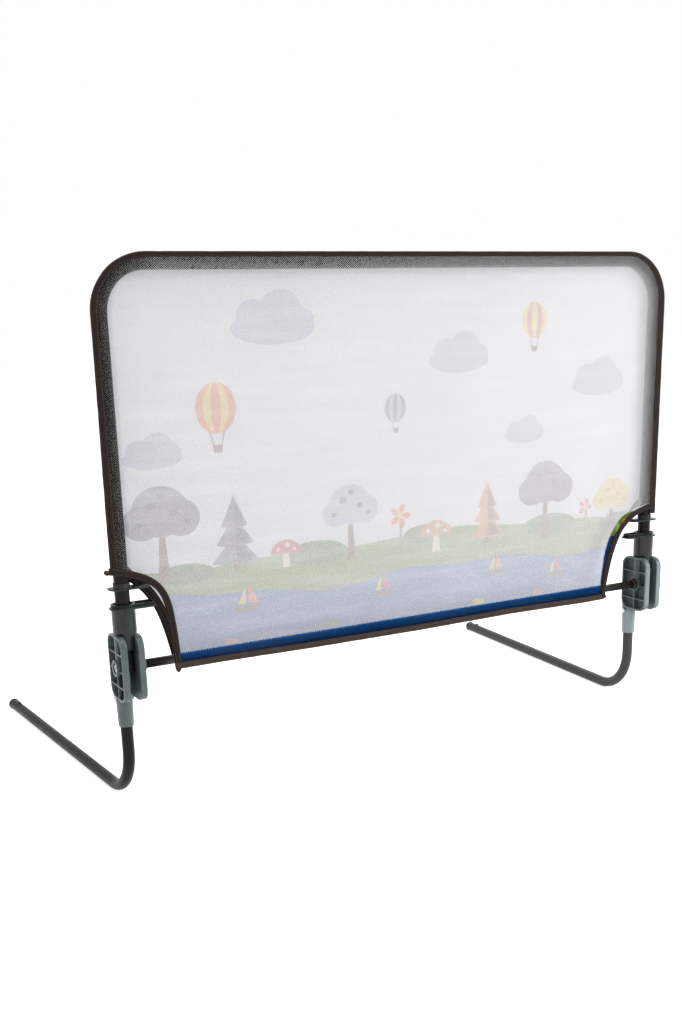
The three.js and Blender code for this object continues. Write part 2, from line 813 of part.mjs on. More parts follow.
function farTape(sign) {
  const edge = cutoutEdge(sign, farCut, farFoot);
  const points = edge.slice(1).map((p) => at(p.x, coverRadius + cloth + slip, p.y));
  return sweep(outline(flatSection(tapeWidth, tapeThickness)), points);
}

// The whole rail: two mirrored sides and what runs between them.

const body = new THREE.Group();
for (const [name, sign] of [["left", -1], ["right", 1]]) {
  const side = hingeSide(name);
  side.scale.x = sign;
  side.position.set(sign * half, 0, pivotHeight);
  body.add(side);
  body.add(piece("edge_tape_far_" + name, farTape(sign), brownCloth));
}
body.add(
  piece("crossbar", crossbar(), steel),
  piece("frame_tube_top", topTube(), steel),
  piece("cover_print", coverPrint(), printCloth),
  piece("cover_net", coverNet(), netCloth),
  piece("piping_tape", pipingTape(), brownCloth),
  piece("edge_tape_near", nearTape(), brownCloth),
);

// The frame's origin is under the middle of the whole part.
const bounds = new THREE.Box3().setFromObject(body, true);
body.position.y = -(bounds.min.y + bounds.max.y) / 2;

const rail = new THREE.Group();
rail.name = "bed_guard_rail";
rail.add(body);

export default rail;
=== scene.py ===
# Folding bed guard rail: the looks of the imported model, in metres.
import math

import bpy
import numpy as np
from mathutils import Matrix, Vector, kdtree, noise
from mathutils.geometry import delaunay_2d_cdt


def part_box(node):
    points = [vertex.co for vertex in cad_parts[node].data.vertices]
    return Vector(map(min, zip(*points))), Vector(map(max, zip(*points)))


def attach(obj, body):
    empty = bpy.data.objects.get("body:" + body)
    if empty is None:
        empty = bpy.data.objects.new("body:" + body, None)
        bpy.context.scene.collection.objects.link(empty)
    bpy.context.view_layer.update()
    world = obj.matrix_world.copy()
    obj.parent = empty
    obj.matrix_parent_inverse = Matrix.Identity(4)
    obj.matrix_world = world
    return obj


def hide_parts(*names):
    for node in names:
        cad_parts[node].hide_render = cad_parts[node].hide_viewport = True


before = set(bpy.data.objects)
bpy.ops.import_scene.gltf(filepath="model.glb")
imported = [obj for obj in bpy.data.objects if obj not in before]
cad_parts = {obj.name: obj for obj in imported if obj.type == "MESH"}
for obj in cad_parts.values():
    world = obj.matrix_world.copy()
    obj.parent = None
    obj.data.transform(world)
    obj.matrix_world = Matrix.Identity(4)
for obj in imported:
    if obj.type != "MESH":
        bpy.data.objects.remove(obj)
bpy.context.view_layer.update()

# Camera.
# It stands left of the rail's middle and a little above it, and looks slightly down.
camera_place = Vector((-0.877768, -1.676991, 0.613067))
camera_yaw = 0.48958
camera_pitch = 0.28528
camera_roll = -0.029313
focal_length_in_pixels = 1188.857
picture_height = 1024
axis_row = 669.91  # picture row that the lens axis meets
sensor_size = 36.0

ahead = Vector((
    math.sin(camera_yaw) * math.cos(camera_pitch),
    math.cos(camera_yaw) * math.cos(camera_pitch),
    -math.sin(camera_pitch),
))
level_right = Vector((math.cos(camera_yaw), -math.sin(camera_yaw), 0))
level_up = level_right.cross(ahead)
to_right = math.cos(camera_roll) * level_right + math.sin(camera_roll) * level_up
to_top = -math.sin(camera_roll) * level_right + math.cos(camera_roll) * level_up
camera = bpy.data.objects.new("camera", bpy.data.cameras.new("camera"))
bpy.context.scene.collection.objects.link(camera)
camera.matrix_world = Matrix.Translation(camera_place) @ Matrix(
    (to_right, to_top, -ahead)).transposed().to_4x4()
camera.data.sensor_width = sensor_size
camera.data.lens = focal_length_in_pixels * sensor_size / picture_height
camera.data.shift_y = (axis_row - picture_height / 2) / picture_height
bpy.context.scene.camera = camera

# Studio.
# A white floor, which keeps the shadows at the feet, in white surroundings, and five soft
# lamps: a strong one on the right, others on the left, above and behind, and a small low one.


def tone(red, green, blue):
    """A colour given as sRGB display values from 0 to 255."""
    shares = [c / 255 for c in (red, green, blue)]
    return tuple(s / 12.92 if s <= 0.04045 else ((s + 0.055) / 1.055) ** 2.4 for s in shares) + (1.0,)


def set_inputs(node, **inputs):
    """Sets a node's inputs, by name or counted as i0, i1, to values or other nodes' outputs."""
    for key, value in inputs.items():
        counted = key[0] == "i" and key[1:].isdigit()
        socket = node.inputs[int(key[1:]) if counted else key.replace("_", " ")]
        if isinstance(value, bpy.types.NodeSocket):
            node.id_data.links.new(value, socket)
        else:
            socket.default_value = value


def add_node(tree, kind, settings=None, **inputs):
    """A new node with its settings and inputs."""
    made = tree.nodes.new(kind)
    for key, value in (settings or {}).items():
        setattr(made, key, value)
    set_inputs(made, **inputs)
    return made


def calculated(tree, operation, first, second=0.0, third=0.0, clamp=False):
    """The result of one sum on numbers or nodes' outputs."""
    return add_node(tree, "ShaderNodeMath", {"operation": operation, "use_clamp": clamp},
                    i0=first, i1=second, i2=third).outputs[0]


def seen_directly(tree):
    """1 for rays that show the surroundings, 0 for rays that light things."""
    path = tree.nodes.new("ShaderNodeLightPath")
    shown = calculated(tree, "ADD", path.outputs["Is Camera Ray"], path.outputs["Is Glossy Ray"])
    return calculated(tree, "ADD", shown, path.outputs["Is Transmission Ray"], clamp=True)


fill_light = 0.62
world = bpy.data.worlds.new("studio_air")
bpy.context.scene.world = world
world.use_nodes = True
tree = world.node_tree
tree.nodes.clear()
soft_fill = add_node(tree, "ShaderNodeBackground", Color=(1, 1, 1, 1), Strength=fill_light)
white_view = add_node(tree, "ShaderNodeBackground", Color=(1, 1, 1, 1), Strength=1.0)
mixed = add_node(tree, "ShaderNodeMixShader", i0=seen_directly(tree), i1=soft_fill.outputs[0],
                 i2=white_view.outputs[0])
add_node(tree, "ShaderNodeOutputWorld", Surface=mixed.outputs[0])

floor_colour = (0.8, 0.8, 0.8, 1)
floor_glow = 0.7
floor_size = 40
bpy.ops.mesh.primitive_plane_add(size=floor_size)
floor = bpy.context.object
floor.name = "studio_floor"
floor_paint = bpy.data.materials.new("studio_floor")
floor_paint.use_nodes = True
tree = floor_paint.node_tree
tree.nodes.clear()
matt = add_node(tree, "ShaderNodeBsdfDiffuse", Color=floor_colour)
glow = add_node(tree, "ShaderNodeEmission", Color=(1, 1, 1, 1),
                Strength=calculated(tree, "MULTIPLY", seen_directly(tree), floor_glow))
both = add_node(tree, "ShaderNodeAddShader", i0=matt.outputs[0], i1=glow.outputs[0])
add_node(tree, "ShaderNodeOutputMaterial", Surface=both.outputs[0])
floor.data.materials.append(floor_paint)


def soft_lamp(name, place, target, size, power):
    """A square lamp that shines from its place at the target."""
    lamp = bpy.data.objects.new(name, bpy.data.lights.new(name, "AREA"))
    bpy.context.scene.collection.objects.link(lamp)
    lamp.location = place
    lamp.rotation_euler = (Vector(target) - Vector(place)).to_track_quat("-Z", "Y").to_euler()
    lamp.data.size = size
    lamp.data.energy = power


soft_lamp("lamp_right", (2.2, -2.1, 1.9), (0.2, -0.25, 0.35), 1.6, 53)
soft_lamp("lamp_left", (-4.0, -2.0, 3.0), (-0.2, -0.25, 0.3), 2.2, 13)
soft_lamp("lamp_above", (0.1, -0.3, 2.7), (0.1, -0.2, 0.0), 1.6, 20)
soft_lamp("lamp_behind", (1.6, 1.8, 1.7), (0.3, 0.0, 0.2), 1.2, 9)
soft_lamp("lamp_low_right", (1.5, 0.1, 0.42), (0.43, -0.25, 0.15), 0.6, 8)

# Legs.
# Bent steel tube with a dark baked coating: a short upright in the hinge moulding's socket
# and a long arm that lies on the bed base, turned a little outward.
crossbar_low, crossbar_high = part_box("crossbar")
hinge_y = (crossbar_low.y + crossbar_high.y) / 2
hinge_z = (crossbar_low.z + crossbar_high.z) / 2
upright_x = 0.430
sides = {"left": -1, "right": 1}
leg_diameter = 0.016
leg_setback = 0.0268
leg_top_drop = 0.042
leg_bend_radius = 0.066
arm_reach = 0.534
splay = math.radians(3.9)
tube_facets = 36
bend_steps = 16
painted_light_reach = 0.44  # the painted light on the coating runs from this far left of the middle to this far right of it


def clear_selection():
    """Leaves edit mode and deselects everything."""
    if bpy.context.object and bpy.context.object.mode != "OBJECT":
        bpy.ops.object.mode_set(mode="OBJECT")
    for one in list(bpy.context.selected_objects):
        one.select_set(False)


def start_edit(name):
    """Names the primitive just added, puts its place in its mesh and opens it for editing."""
    piece = bpy.context.object
    piece.name = name
    piece.data.name = name
    bpy.ops.object.transform_apply(location=True, rotation=True, scale=True)
    bpy.ops.object.mode_set(mode="EDIT")
    bpy.ops.mesh.select_all(action="SELECT")
    return piece


def end_edit(piece, smooth_angle=math.radians(40)):
    """Faces outwards, smooth between faces that meet at less than the angle."""
    bpy.ops.mesh.select_all(action="SELECT")
    bpy.ops.mesh.normals_make_consistent(inside=False)
    bpy.ops.object.mode_set(mode="OBJECT")
    bpy.ops.object.shade_smooth_by_angle(angle=smooth_angle)
    piece.select_set(False)
    return piece


def push(vector):
    """Extrudes what is selected."""
    bpy.ops.mesh.extrude_region_move(TRANSFORM_OT_translate={"value": tuple(vector)})


def bent_tube(name, diameter, start, first, first_run, radius, second, second_run):
    """A tube from start along first, through one quarter bend, and on along second."""
    clear_selection()
    first, second = Vector(first), Vector(second)
    bpy.ops.mesh.primitive_circle_add(vertices=tube_facets, radius=diameter / 2, fill_type="NGON",
                                      location=start, rotation=first.to_track_quat("Z", "Y").to_euler())
    piece = start_edit(name)
    push(first * first_run)
    centre = Vector(start) + first * first_run + second * radius
    bpy.ops.mesh.spin(steps=bend_steps, angle=-math.pi / 2, center=centre, axis=first.cross(second))
    push(second * second_run)
    return end_edit(piece)


def object_place(tree, scale=(1.0, 1.0, 1.0)):
    """Object coordinates in metres, times the scale."""
    place = tree.nodes.new("ShaderNodeTexCoord")
    return add_node(tree, "ShaderNodeMapping", Vector=place.outputs["Object"], Scale=scale).outputs[0]


def patterned(tree, vector, scale, detail=3.0, roughness=0.55):
    """Cloudy noise from 0 to 1; the scale counts its lumps along a metre."""
    return add_node(tree, "ShaderNodeTexNoise", Vector=vector, Scale=scale, Detail=detail,
                    Roughness=roughness).outputs["Fac"]


def between(tree, value, low, high, to_low, to_high):
    """A value that goes from to_low to to_high while another goes from low to high."""
    return add_node(tree, "ShaderNodeMapRange", i0=value, i1=low, i2=high, i3=to_low, i4=to_high).outputs[0]


def mixed_colour(tree, share, first, second, blend="MIX"):
    """The first colour with a share of the second mixed in."""
    return add_node(tree, "ShaderNodeMix", {"data_type": "RGBA", "blend_type": blend},
                    i0=share, i6=first, i7=second).outputs[2]


def bumped(tree, height, distance, strength, normal=None):
    """Small bumps, on top of another bump's normal if one is given."""
    made = add_node(tree, "ShaderNodeBump", Height=height, Distance=distance, Strength=strength)
    if normal:
        tree.links.new(normal, made.inputs["Normal"])
    return made.outputs[0]


def new_finish(name):
    """A material, its node tree and its surface shader."""
    finish = bpy.data.materials.new(name)
    finish.use_nodes = True
    return finish, finish.node_tree, finish.node_tree.nodes["Principled BSDF"]


def baked_coating(name, dark, light, roughness, specular, painted_light_right=0.0):
    """Dark sprayed and baked enamel: cloudy colour, fine orange peel and small rubbed places.
    It may be painted lighter towards the right end, by a share: painted light from the lamps on the right."""
    finish, tree, shader = new_finish(name)
    place = object_place(tree)
    clouds = patterned(tree, place, 22.0)
    specks = patterned(tree, place, 1400.0, 1.0)
    rubbed = between(tree, patterned(tree, place, 75.0, 6.0, 0.7), 0.66, 0.78, 0.0, 0.4)
    colour = mixed_colour(tree, between(tree, clouds, 0.3, 0.7, 0.0, 1.0), dark, light)
    across = add_node(tree, "ShaderNodeSeparateXYZ", Vector=place).outputs[0]
    painted_light_share = between(tree, across, -painted_light_reach, painted_light_reach, 0.0, painted_light_right)
    lightened = mixed_colour(tree, painted_light_share, colour, tone(150, 152, 146))
    set_inputs(shader, Base_Color=mixed_colour(tree, rubbed, lightened, tone(92, 84, 72)),
               Roughness=between(tree, clouds, 0.3, 0.7, roughness, roughness + 0.12),
               Normal=bumped(tree, specks, 0.00012, 0.5), Specular_IOR_Level=specular)
    return finish


# The legs' coating gets painted light towards the right end, where the lamps on the right light it.
tube_coating = baked_coating("tube_coating", tone(19, 17, 14), tone(28, 25, 21), 0.34, 0.14, 0.19)
for side, sign in sides.items():
    start = Vector((sign * upright_x, hinge_y + leg_setback, hinge_z - leg_top_drop))
    arm_heading = Vector((sign * math.sin(splay), math.cos(splay), 0))
    fall = start.z - leg_diameter / 2 - leg_bend_radius
    reach = arm_reach - leg_setback - leg_bend_radius
    leg = bent_tube("leg_tube_" + side, leg_diameter, start, (0, 0, -1), fall, leg_bend_radius,
                    arm_heading, reach)
    leg.data.materials.append(tube_coating)
    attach(leg, "base")
    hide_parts("leg_" + side)

# Arm caps and studs.
# Black moulded plastic caps pushed into the arms' ends, with a thin flange, and small
# buttons on top of the arms near the ends.
cap_edge = 0.0006
sharp_angle = math.radians(38)  # faces that meet at more than this have an edge between them
flat_angle = math.radians(2)
merge_distance = 0.00001


def softened(node_name, name, edge):
    """The CAD node's shape with its sharp edges rounded."""
    clear_selection()
    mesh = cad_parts[node_name].data.copy()
    mesh.materials.clear()
    piece = bpy.data.objects.new(name, mesh)
    mesh.name = name
    bpy.context.scene.collection.objects.link(piece)
    bpy.context.view_layer.objects.active = piece
    piece.select_set(True)
    bpy.ops.object.mode_set(mode="EDIT")
    bpy.ops.mesh.select_all(action="SELECT")
    bpy.ops.mesh.remove_doubles(threshold=merge_distance)
    bpy.ops.mesh.dissolve_limited(angle_limit=flat_angle)
    bpy.ops.mesh.select_all(action="SELECT")
    bpy.ops.mesh.normals_make_consistent(inside=False)
    bpy.ops.object.mode_set(mode="OBJECT")
    rounding = piece.modifiers.new("rounding", "BEVEL")
    rounding.width = edge
    rounding.segments = 2
    rounding.limit_method = "ANGLE"
    rounding.angle_limit = sharp_angle
    bpy.ops.object.modifier_apply(modifier="rounding")
    bpy.ops.object.shade_smooth_by_angle(angle=sharp_angle)
    piece.select_set(False)
    return piece


def moulded_plastic(name, dark, light, roughness, specular=0.5, shade=None):
    """Moulded plastic: faint flow clouds, a fine spark-eroded grain and light handling marks.
    The shade gives, from 0 to 1, how much painted shade darkens its hollows and how much painted light
    brightens its rims."""
    finish, tree, shader = new_finish(name)
    place = object_place(tree)
    clouds = patterned(tree, place, 34.0, 4.0)
    grain = patterned(tree, place, 1900.0, 2.0)
    marks = patterned(tree, object_place(tree, (1.0, 1.0, 0.2)), 420.0, 3.0)
    scuffed = between(tree, marks, 0.62, 0.78, 0.0, 0.35)
    colour = mixed_colour(tree, between(tree, clouds, 0.35, 0.65, 0.0, 1.0), dark, light)
    scuff = tuple(min(1.0, 1.5 * c + 0.02) for c in light[:3]) + (1.0,)
    worn = mixed_colour(tree, scuffed, colour, scuff)
    shine = specular
    if shade:
        # Painted shade in the hollows and painted light on the rims.
        painted_hollow_shade, painted_rim_light = shade(tree, place)
        worn = mixed_colour(tree, painted_hollow_shade, worn, tone(16, 22, 22))
        shine = between(tree, painted_hollow_shade, 0.0, 1.0, specular, 0.05)
        if painted_rim_light:
            worn = mixed_colour(tree, painted_rim_light, worn, tone(176, 190, 198))
    set_inputs(shader, Base_Color=worn, Specular_IOR_Level=shine,
               Roughness=between(tree, marks, 0.3, 0.8, roughness - 0.06, roughness + 0.12),
               Normal=bumped(tree, grain, 0.0001, 0.35))
    return finish


cap_plastic = moulded_plastic("cap_plastic", tone(26, 25, 24), tone(36, 34, 32), 0.42)
for side in sides:
    for node_name in ("arm_cap_", "arm_stud_"):
        piece = softened(node_name + side, node_name + side + "_rounded", cap_edge)
        piece.data.materials.append(cap_plastic)
        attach(piece, "base")
        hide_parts(node_name + side)

# Hinge mouldings.
# Slate green plastic, one piece each: two ribbed plates with a boss for the bolt, a web
# behind them and the tapered socket that holds the leg.
moulding_edge = 0.0007
pocket_floor = 0.0096  # from the upright's centre to the floor of the plates' pockets
pocket_rim = 0.0152
pocket_half_depth = 0.0247
pocket_half_height = 0.0405
pocket_corner = 0.0078
# Painted shade darkens the plates' pockets, more on the left, and painted light brightens the front rims and
# the socket, more on the right.
pocket_floor_shade = 0.9
hollow_shade_left, hollow_shade_right = 1.0, 0.62
behind_floor = (0.0012, 0.0004)  # the painted shade ends between these depths behind a pocket's floor
wall_blend = 0.0004
front_rims = (0.0275, 0.0235)  # how far before the hinge's axis the rims with painted light lie
socket_band = (0.052, 0.044)  # how far below the axis the socket gets painted light
socket_painted_light = 0.7
rim_light_left, rim_light_right = 0.0, 0.68


def pocket_shade(tree, place):
    """Painted shade in the pockets between the plates' ribs, darkest at their floors, and painted light on
    the front rims and the socket, more on the right."""
    apart = add_node(tree, "ShaderNodeSeparateXYZ", Vector=place)
    across = calculated(tree, "ABSOLUTE", apart.outputs[0])
    off = calculated(tree, "ABSOLUTE", calculated(tree, "SUBTRACT", across, upright_x))
    shade = between(tree, off, pocket_floor, pocket_rim, pocket_floor_shade, 0.0)
    inside_face = between(tree, off, *(pocket_floor - depth for depth in behind_floor), 0.0, 1.0)
    shade = calculated(tree, "MULTIPLY", shade, inside_face)
    shade = calculated(tree, "MULTIPLY", shade, between(
        tree, apart.outputs[0], -upright_x, upright_x, hollow_shade_left, hollow_shade_right))
    behind = calculated(tree, "ABSOLUTE", calculated(tree, "SUBTRACT", apart.outputs[1], hinge_y))
    above = calculated(tree, "ABSOLUTE", calculated(tree, "SUBTRACT", apart.outputs[2], hinge_z))
    half_sum = pocket_half_depth + pocket_half_height - pocket_corner
    for away, half in ((behind, pocket_half_depth), (above, pocket_half_height),
                       (calculated(tree, "ADD", behind, above), half_sum)):
        shade = calculated(tree, "MULTIPLY", shade, between(tree, away, half - wall_blend, half, 1.0, 0.0))
    at_front = between(tree, apart.outputs[1], *(hinge_y - before for before in front_rims), 1.0, 0.0)
    on_socket = between(tree, apart.outputs[2], *(hinge_z - below for below in socket_band),
                        socket_painted_light, 0.0)
    by_side = between(tree, apart.outputs[0], -upright_x, upright_x, rim_light_left, rim_light_right)
    exposed = calculated(tree, "MAXIMUM", at_front, on_socket)
    return shade, calculated(tree, "MULTIPLY", exposed, by_side)


# Its pockets get painted shade, and its front rims and socket get painted light.
slate_plastic = moulded_plastic("slate_plastic", tone(70, 84, 83), tone(84, 99, 98), 0.34, 0.5,
                                pocket_shade)
for side in sides:
    piece = softened("bracket_" + side, "hinge_moulding_" + side, moulding_edge)
    piece.data.materials.append(slate_plastic)
    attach(piece, "base")
    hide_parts("bracket_" + side)

# Hinge bolts, washers, plugs and the sockets' screws.
# Zinc-plated steel, turned: the bolts go through the plates into threaded plugs in the
# crossbar's ends, and a screw holds each leg in its socket.
bolt_edge = 0.0004


def plated_steel(name):
    """Bright zinc plating: fine turning marks and a faint haze."""
    finish, tree, shader = new_finish(name)
    place = object_place(tree)
    haze = patterned(tree, place, 160.0)
    turning = patterned(tree, object_place(tree, (6.0, 1.0, 1.0)), 500.0, 2.0)
    set_inputs(shader, Base_Color=mixed_colour(tree, haze, tone(176, 180, 186), tone(214, 217, 222)),
               Roughness=between(tree, haze, 0.3, 0.7, 0.2, 0.36),
               Normal=bumped(tree, turning, 0.00006, 0.5), Metallic=1.0)
    return finish


zinc = plated_steel("zinc_plating")
for side in sides:
    for node_name in ("pivot_bolt_", "socket_screw_"):
        piece = softened(node_name + side, node_name + side + "_rounded", bolt_edge)
        piece.data.materials.append(zinc)
        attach(piece, "base")
        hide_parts(node_name + side)


def refinish(node_name, finish):
    """Gives a CAD node that is shown as it is a new finish."""
    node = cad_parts[node_name]
    if not node.material_slots:
        node.data.materials.append(finish)
    for held in node.material_slots:
        held.material = finish


for side in sides:
    for node_name in ("bolt_washer_", "crossbar_plug_"):
        refinish(node_name + side, zinc)

# Crossbar.
# A straight coated tube between the two hinges; the cover's lower edge is a pocket round it.
crossbar_diameter = 0.012
crossbar_wall = 0.0008
clear_selection()
bar_length = crossbar_high.x - crossbar_low.x
bpy.ops.mesh.primitive_circle_add(vertices=tube_facets, radius=crossbar_diameter / 2, fill_type="NOTHING",
                                  location=(crossbar_low.x, hinge_y, hinge_z),
                                  rotation=(0, math.pi / 2, 0))
crossbar = start_edit("crossbar_tube")
push((bar_length, 0, 0))
end_edit(crossbar)
crossbar.select_set(True)
bpy.context.view_layer.objects.active = crossbar
wall = crossbar.modifiers.new("wall", "SOLIDIFY")
wall.thickness = crossbar_wall
wall.offset = -1
bpy.ops.object.modifier_apply(modifier="wall")
crossbar_coating = baked_coating("crossbar_coating", tone(42, 39, 34), tone(55, 52, 46), 0.13, 0.5)
crossbar.data.materials.append(crossbar_coating)
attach(crossbar, "base")
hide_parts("crossbar")

# Collars.
# Black plastic rings round the crossbar where it goes into the inner hinge plates.
for side in sides:
    piece = softened("crossbar_collar_" + side, "bar_collar_" + side, cap_edge)
    piece.data.materials.append(cap_plastic)
    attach(piece, "base")
    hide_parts("crossbar_collar_" + side)

# Frame tubes.
# Two coated steel uprights, each bent into the frame's rounded corner, and a top tube whose
# narrowed ends go into them and are held by sprung buttons.
frame_diameter = 0.019
top_height = 0.6876
corner_radius = 0.059
joint_inset = 0.095
tube_foot = hinge_z + 0.0462
swage_length = 0.034
swage_step = 0.0012
swage_shoulder = 0.0015
swage_chamfer = 0.001
join_gap = 0.0003
frame_coating = baked_coating("frame_coating", tone(20, 18, 16), tone(28, 26, 23), 0.34, 0.14)
for side, sign in sides.items():
    start = Vector((sign * upright_x, hinge_y, tube_foot))
    rise = top_height - corner_radius - tube_foot
    tube = bent_tube("frame_corner_tube_" + side, frame_diameter, start, (0, 0, 1), rise, corner_radius,
                     (-sign, 0, 0), joint_inset - corner_radius)
    tube.data.materials.append(frame_coating)
    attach(tube, "rail")
    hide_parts("frame_tube_" + side)


def turned(name, stations, start, heading):
    """A turned piece: (radius, distance) stations along the heading from the start."""
    clear_selection()
    heading = Vector(heading)
    first_radius, first_distance = stations[0]
    at = Vector(start) + heading * first_distance
    bpy.ops.mesh.primitive_circle_add(vertices=tube_facets, radius=first_radius, fill_type="NGON",
                                      location=at, rotation=heading.to_track_quat("Z", "Y").to_euler())
    piece = start_edit(name)
    across = [1 if abs(c) < 0.5 else 0 for c in heading]
    for (r0, d0), (r1, d1) in zip(stations, stations[1:]):
        push(heading * (d1 - d0))
        at = Vector(start) + heading * d1
        share = r1 / r0
        bpy.ops.transform.resize(value=[share if a else 1 for a in across], center_override=at)
    return end_edit(piece)


frame_radius = frame_diameter / 2
top_end = upright_x - joint_inset - join_gap
narrow = frame_radius - swage_step
swaged_end = [
    (frame_radius, top_end), (narrow, top_end + swage_shoulder),
    (narrow, top_end + swage_length - swage_chamfer), (narrow - swage_chamfer, top_end + swage_length),
]
other_end = [(radius, -distance) for radius, distance in swaged_end[::-1]]
top_tube = turned("frame_top_tube", other_end + swaged_end, (0, hinge_y, top_height), (1, 0, 0))
top_tube.data.materials.append(frame_coating)
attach(top_tube, "rail")
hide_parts("frame_tube_top")
for side in sides:
    refinish("snap_button_" + side, zinc)
    refinish("tongue_rivet_" + side, zinc)

# Hinge tongues.
# Plastic inserts riveted in the uprights' lower ends, which turn on the hinge bolts.
tongue_plastic = moulded_plastic("tongue_plastic", tone(15, 17, 15), tone(22, 24, 22), 0.45, 0.15)
for side in sides:
    piece = softened("hinge_tongue_" + side, "hinge_tongue_" + side + "_rounded", moulding_edge)
    piece.data.materials.append(tongue_plastic)
    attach(piece, "rail")
    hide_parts("hinge_tongue_" + side)

# Finger plates, release sleeves, spring seats and springs.
# The upper plate is fixed on the upright. The sleeve below it has a cup-shaped finger plate
# and slides up against a wire spring, which frees the hinge.
grip_edge = 0.0005
cup_low = hinge_z + 0.0783
cup_high = hinge_z + 0.0826
# Painted shade along the cup's wall: how dark it is, and how softly it ends.
cup_painted_shade = 0.7
rim_painted_shade = 0.25  # share of it on the cup's rim
shade_blend = 0.0006
below_rim, above_rim = 0.0008, 0.0004


def cup_shade(tree, place):
    """Painted shade along the wall of the sleeve's finger cup."""
    height = add_node(tree, "ShaderNodeSeparateXYZ", Vector=place).outputs[2]
    rim_low, rim_high = cup_high - below_rim, cup_high + above_rim
    above = between(tree, height, cup_low, cup_low + shade_blend, 0.0, cup_painted_shade)
    below = between(tree, height, rim_low, rim_low + shade_blend, 1.0, rim_painted_shade)
    on_cup = between(tree, height, rim_high, rim_high + shade_blend, 1.0, 0.0)
    return calculated(tree, "MULTIPLY", calculated(tree, "MULTIPLY", above, below), on_cup), None


sleeve_plastic = moulded_plastic("sleeve_plastic", tone(30, 38, 37), tone(40, 49, 48), 0.32, 0.3,
                                 cup_shade)
for side in sides:
    piece = softened("upper_grip_" + side, "finger_plate_" + side, grip_edge)
    piece.data.materials.append(sleeve_plastic)
    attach(piece, "rail")
    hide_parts("upper_grip_" + side)
    piece = softened("release_sleeve_" + side, "sliding_sleeve_" + side, grip_edge)
    piece.data.materials.append(sleeve_plastic)
    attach(piece, "release_" + side)
    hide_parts("release_sleeve_" + side)
    refinish("spring_seat_" + side, sleeve_plastic)
    refinish("spring_" + side, zinc)

# Printed panel.
# Thin woven polyester with a printed landscape, on the bed side. It is pulled round the
# tubes to the binding, and its lower edge is a pocket round the crossbar.
tube_to_cloth = 0.0104  # from a tube's centre to the middle of the cloth round it
pocket_z = hinge_z + 0.0015
pocket_length = math.pi * tube_to_cloth
wrap_angle = math.radians(142)
side_foot = 0.322  # height at which the cut-outs start beside the uprights
cut_start = 0.437
near_foot, far_foot = 0.1952, 0.195  # heights of the cut-outs' corners
# A cut-out's corner across, and its curve's two handles as shares of its width and height.
near_cuts = {
    -1: (0.3665, (0.92, 0.133, 0.914, 0.264)),
    1: (0.3415, (0.664, 0.046, 0.938, 0.414)),
}
far_cut = (0.361, (0.654, 0.214, 0.808, 0.432))
cut_steps, arc_steps = 28, 18
net_foot = 0.2056
strip_overlap = 0.0016
strip_inset = 0.002
wrap_ends = {-1: 0.3288, 1: 0.3095}
cloth_spacing = 0.0065
join_distance = 1e-7
cloth_thickness = 0.0004
tube_hold, bar_hold = 0.006, 0.004  # the cloth lies still this near the tubes and the crossbar
panel_wave, panel_wave_seed, panel_wave_room = 0.0018, 3, 0.06
panel_dip, panel_dip_room = 0.0008, 0.12
panel_edge_room = (0.012, 0.05)  # the cloth lies still near the cut-outs' tapes
show_through = 0.42  # how far the print's colours are paled on the cloth's inner side
corner_x = upright_x - corner_radius
corner_z = top_height - corner_radius


def cut_edge(sign, corner, shares, foot):
    """A cut-out's edge from the side down to its corner, as points across and up."""
    wide, tall = cut_start - corner, side_foot - foot
    u1, v1, u2, v2 = shares
    t = np.linspace(0, 1, cut_steps + 1)[:, None]
    ends = np.array([[0, 0], [u1, v1], [u2, v2], [1, 1]])
    weights = np.hstack([(1 - t) ** 3, 3 * t * (1 - t) ** 2, 3 * t * t * (1 - t), t ** 3])
    curve = weights @ ends
    return np.stack([sign * (cut_start - wide * curve[:, 0]), side_foot - tall * curve[:, 1]], 1)


def shifted(line, distance):
    """The line moved to its left-hand side."""
    line = np.asarray(line, float)
    along = np.gradient(line, axis=0)
    along /= np.linalg.norm(along, axis=1)[:, None]
    return line + distance * np.stack([-along[:, 1], along[:, 0]], 1)


def outer_arc(grow):
    """The panel's rounded top outside the tubes' centres by grow, from right foot to left foot."""
    r = corner_radius + grow
    a = np.linspace(0, math.pi / 2, arc_steps + 1)
    right = np.stack([corner_x + r * np.cos(a), corner_z + r * np.sin(a)], 1)
    left = np.stack([-right[::-1, 0], right[::-1, 1]], 1)
    return np.vstack([right, left])


def evenly(line, spacing):
    """The same line with points at most a spacing apart."""
    made = [line[0]]
    for a, b in zip(line, line[1:]):
        count = max(1, math.ceil(np.linalg.norm(np.subtract(b, a)) / spacing))
        made += [np.add(a, np.multiply(np.subtract(b, a), k / count)) for k in range(1, count + 1)]
    return np.array(made)


def inside(points, ring):
    """Which points lie inside a closed ring."""
    x, z = points[:, 0][:, None], points[:, 1][:, None]
    x0, z0 = ring[:, 0][None], ring[:, 1][None]
    x1, z1 = np.roll(ring[:, 0], -1)[None], np.roll(ring[:, 1], -1)[None]
    crosses = (z0 > z) != (z1 > z)
    rise = np.where(z1 == z0, 1e-12, z1 - z0)  # level edges cross nothing, so theirs is any number
    return (crosses & (x < (x1 - x0) * (z - z0) / rise + x0)).sum(1) % 2 == 1


def middles(flat, faces):
    """The middle of each face of the flat cloth."""
    return np.array([flat[list(face)].mean(0) for face in faces])


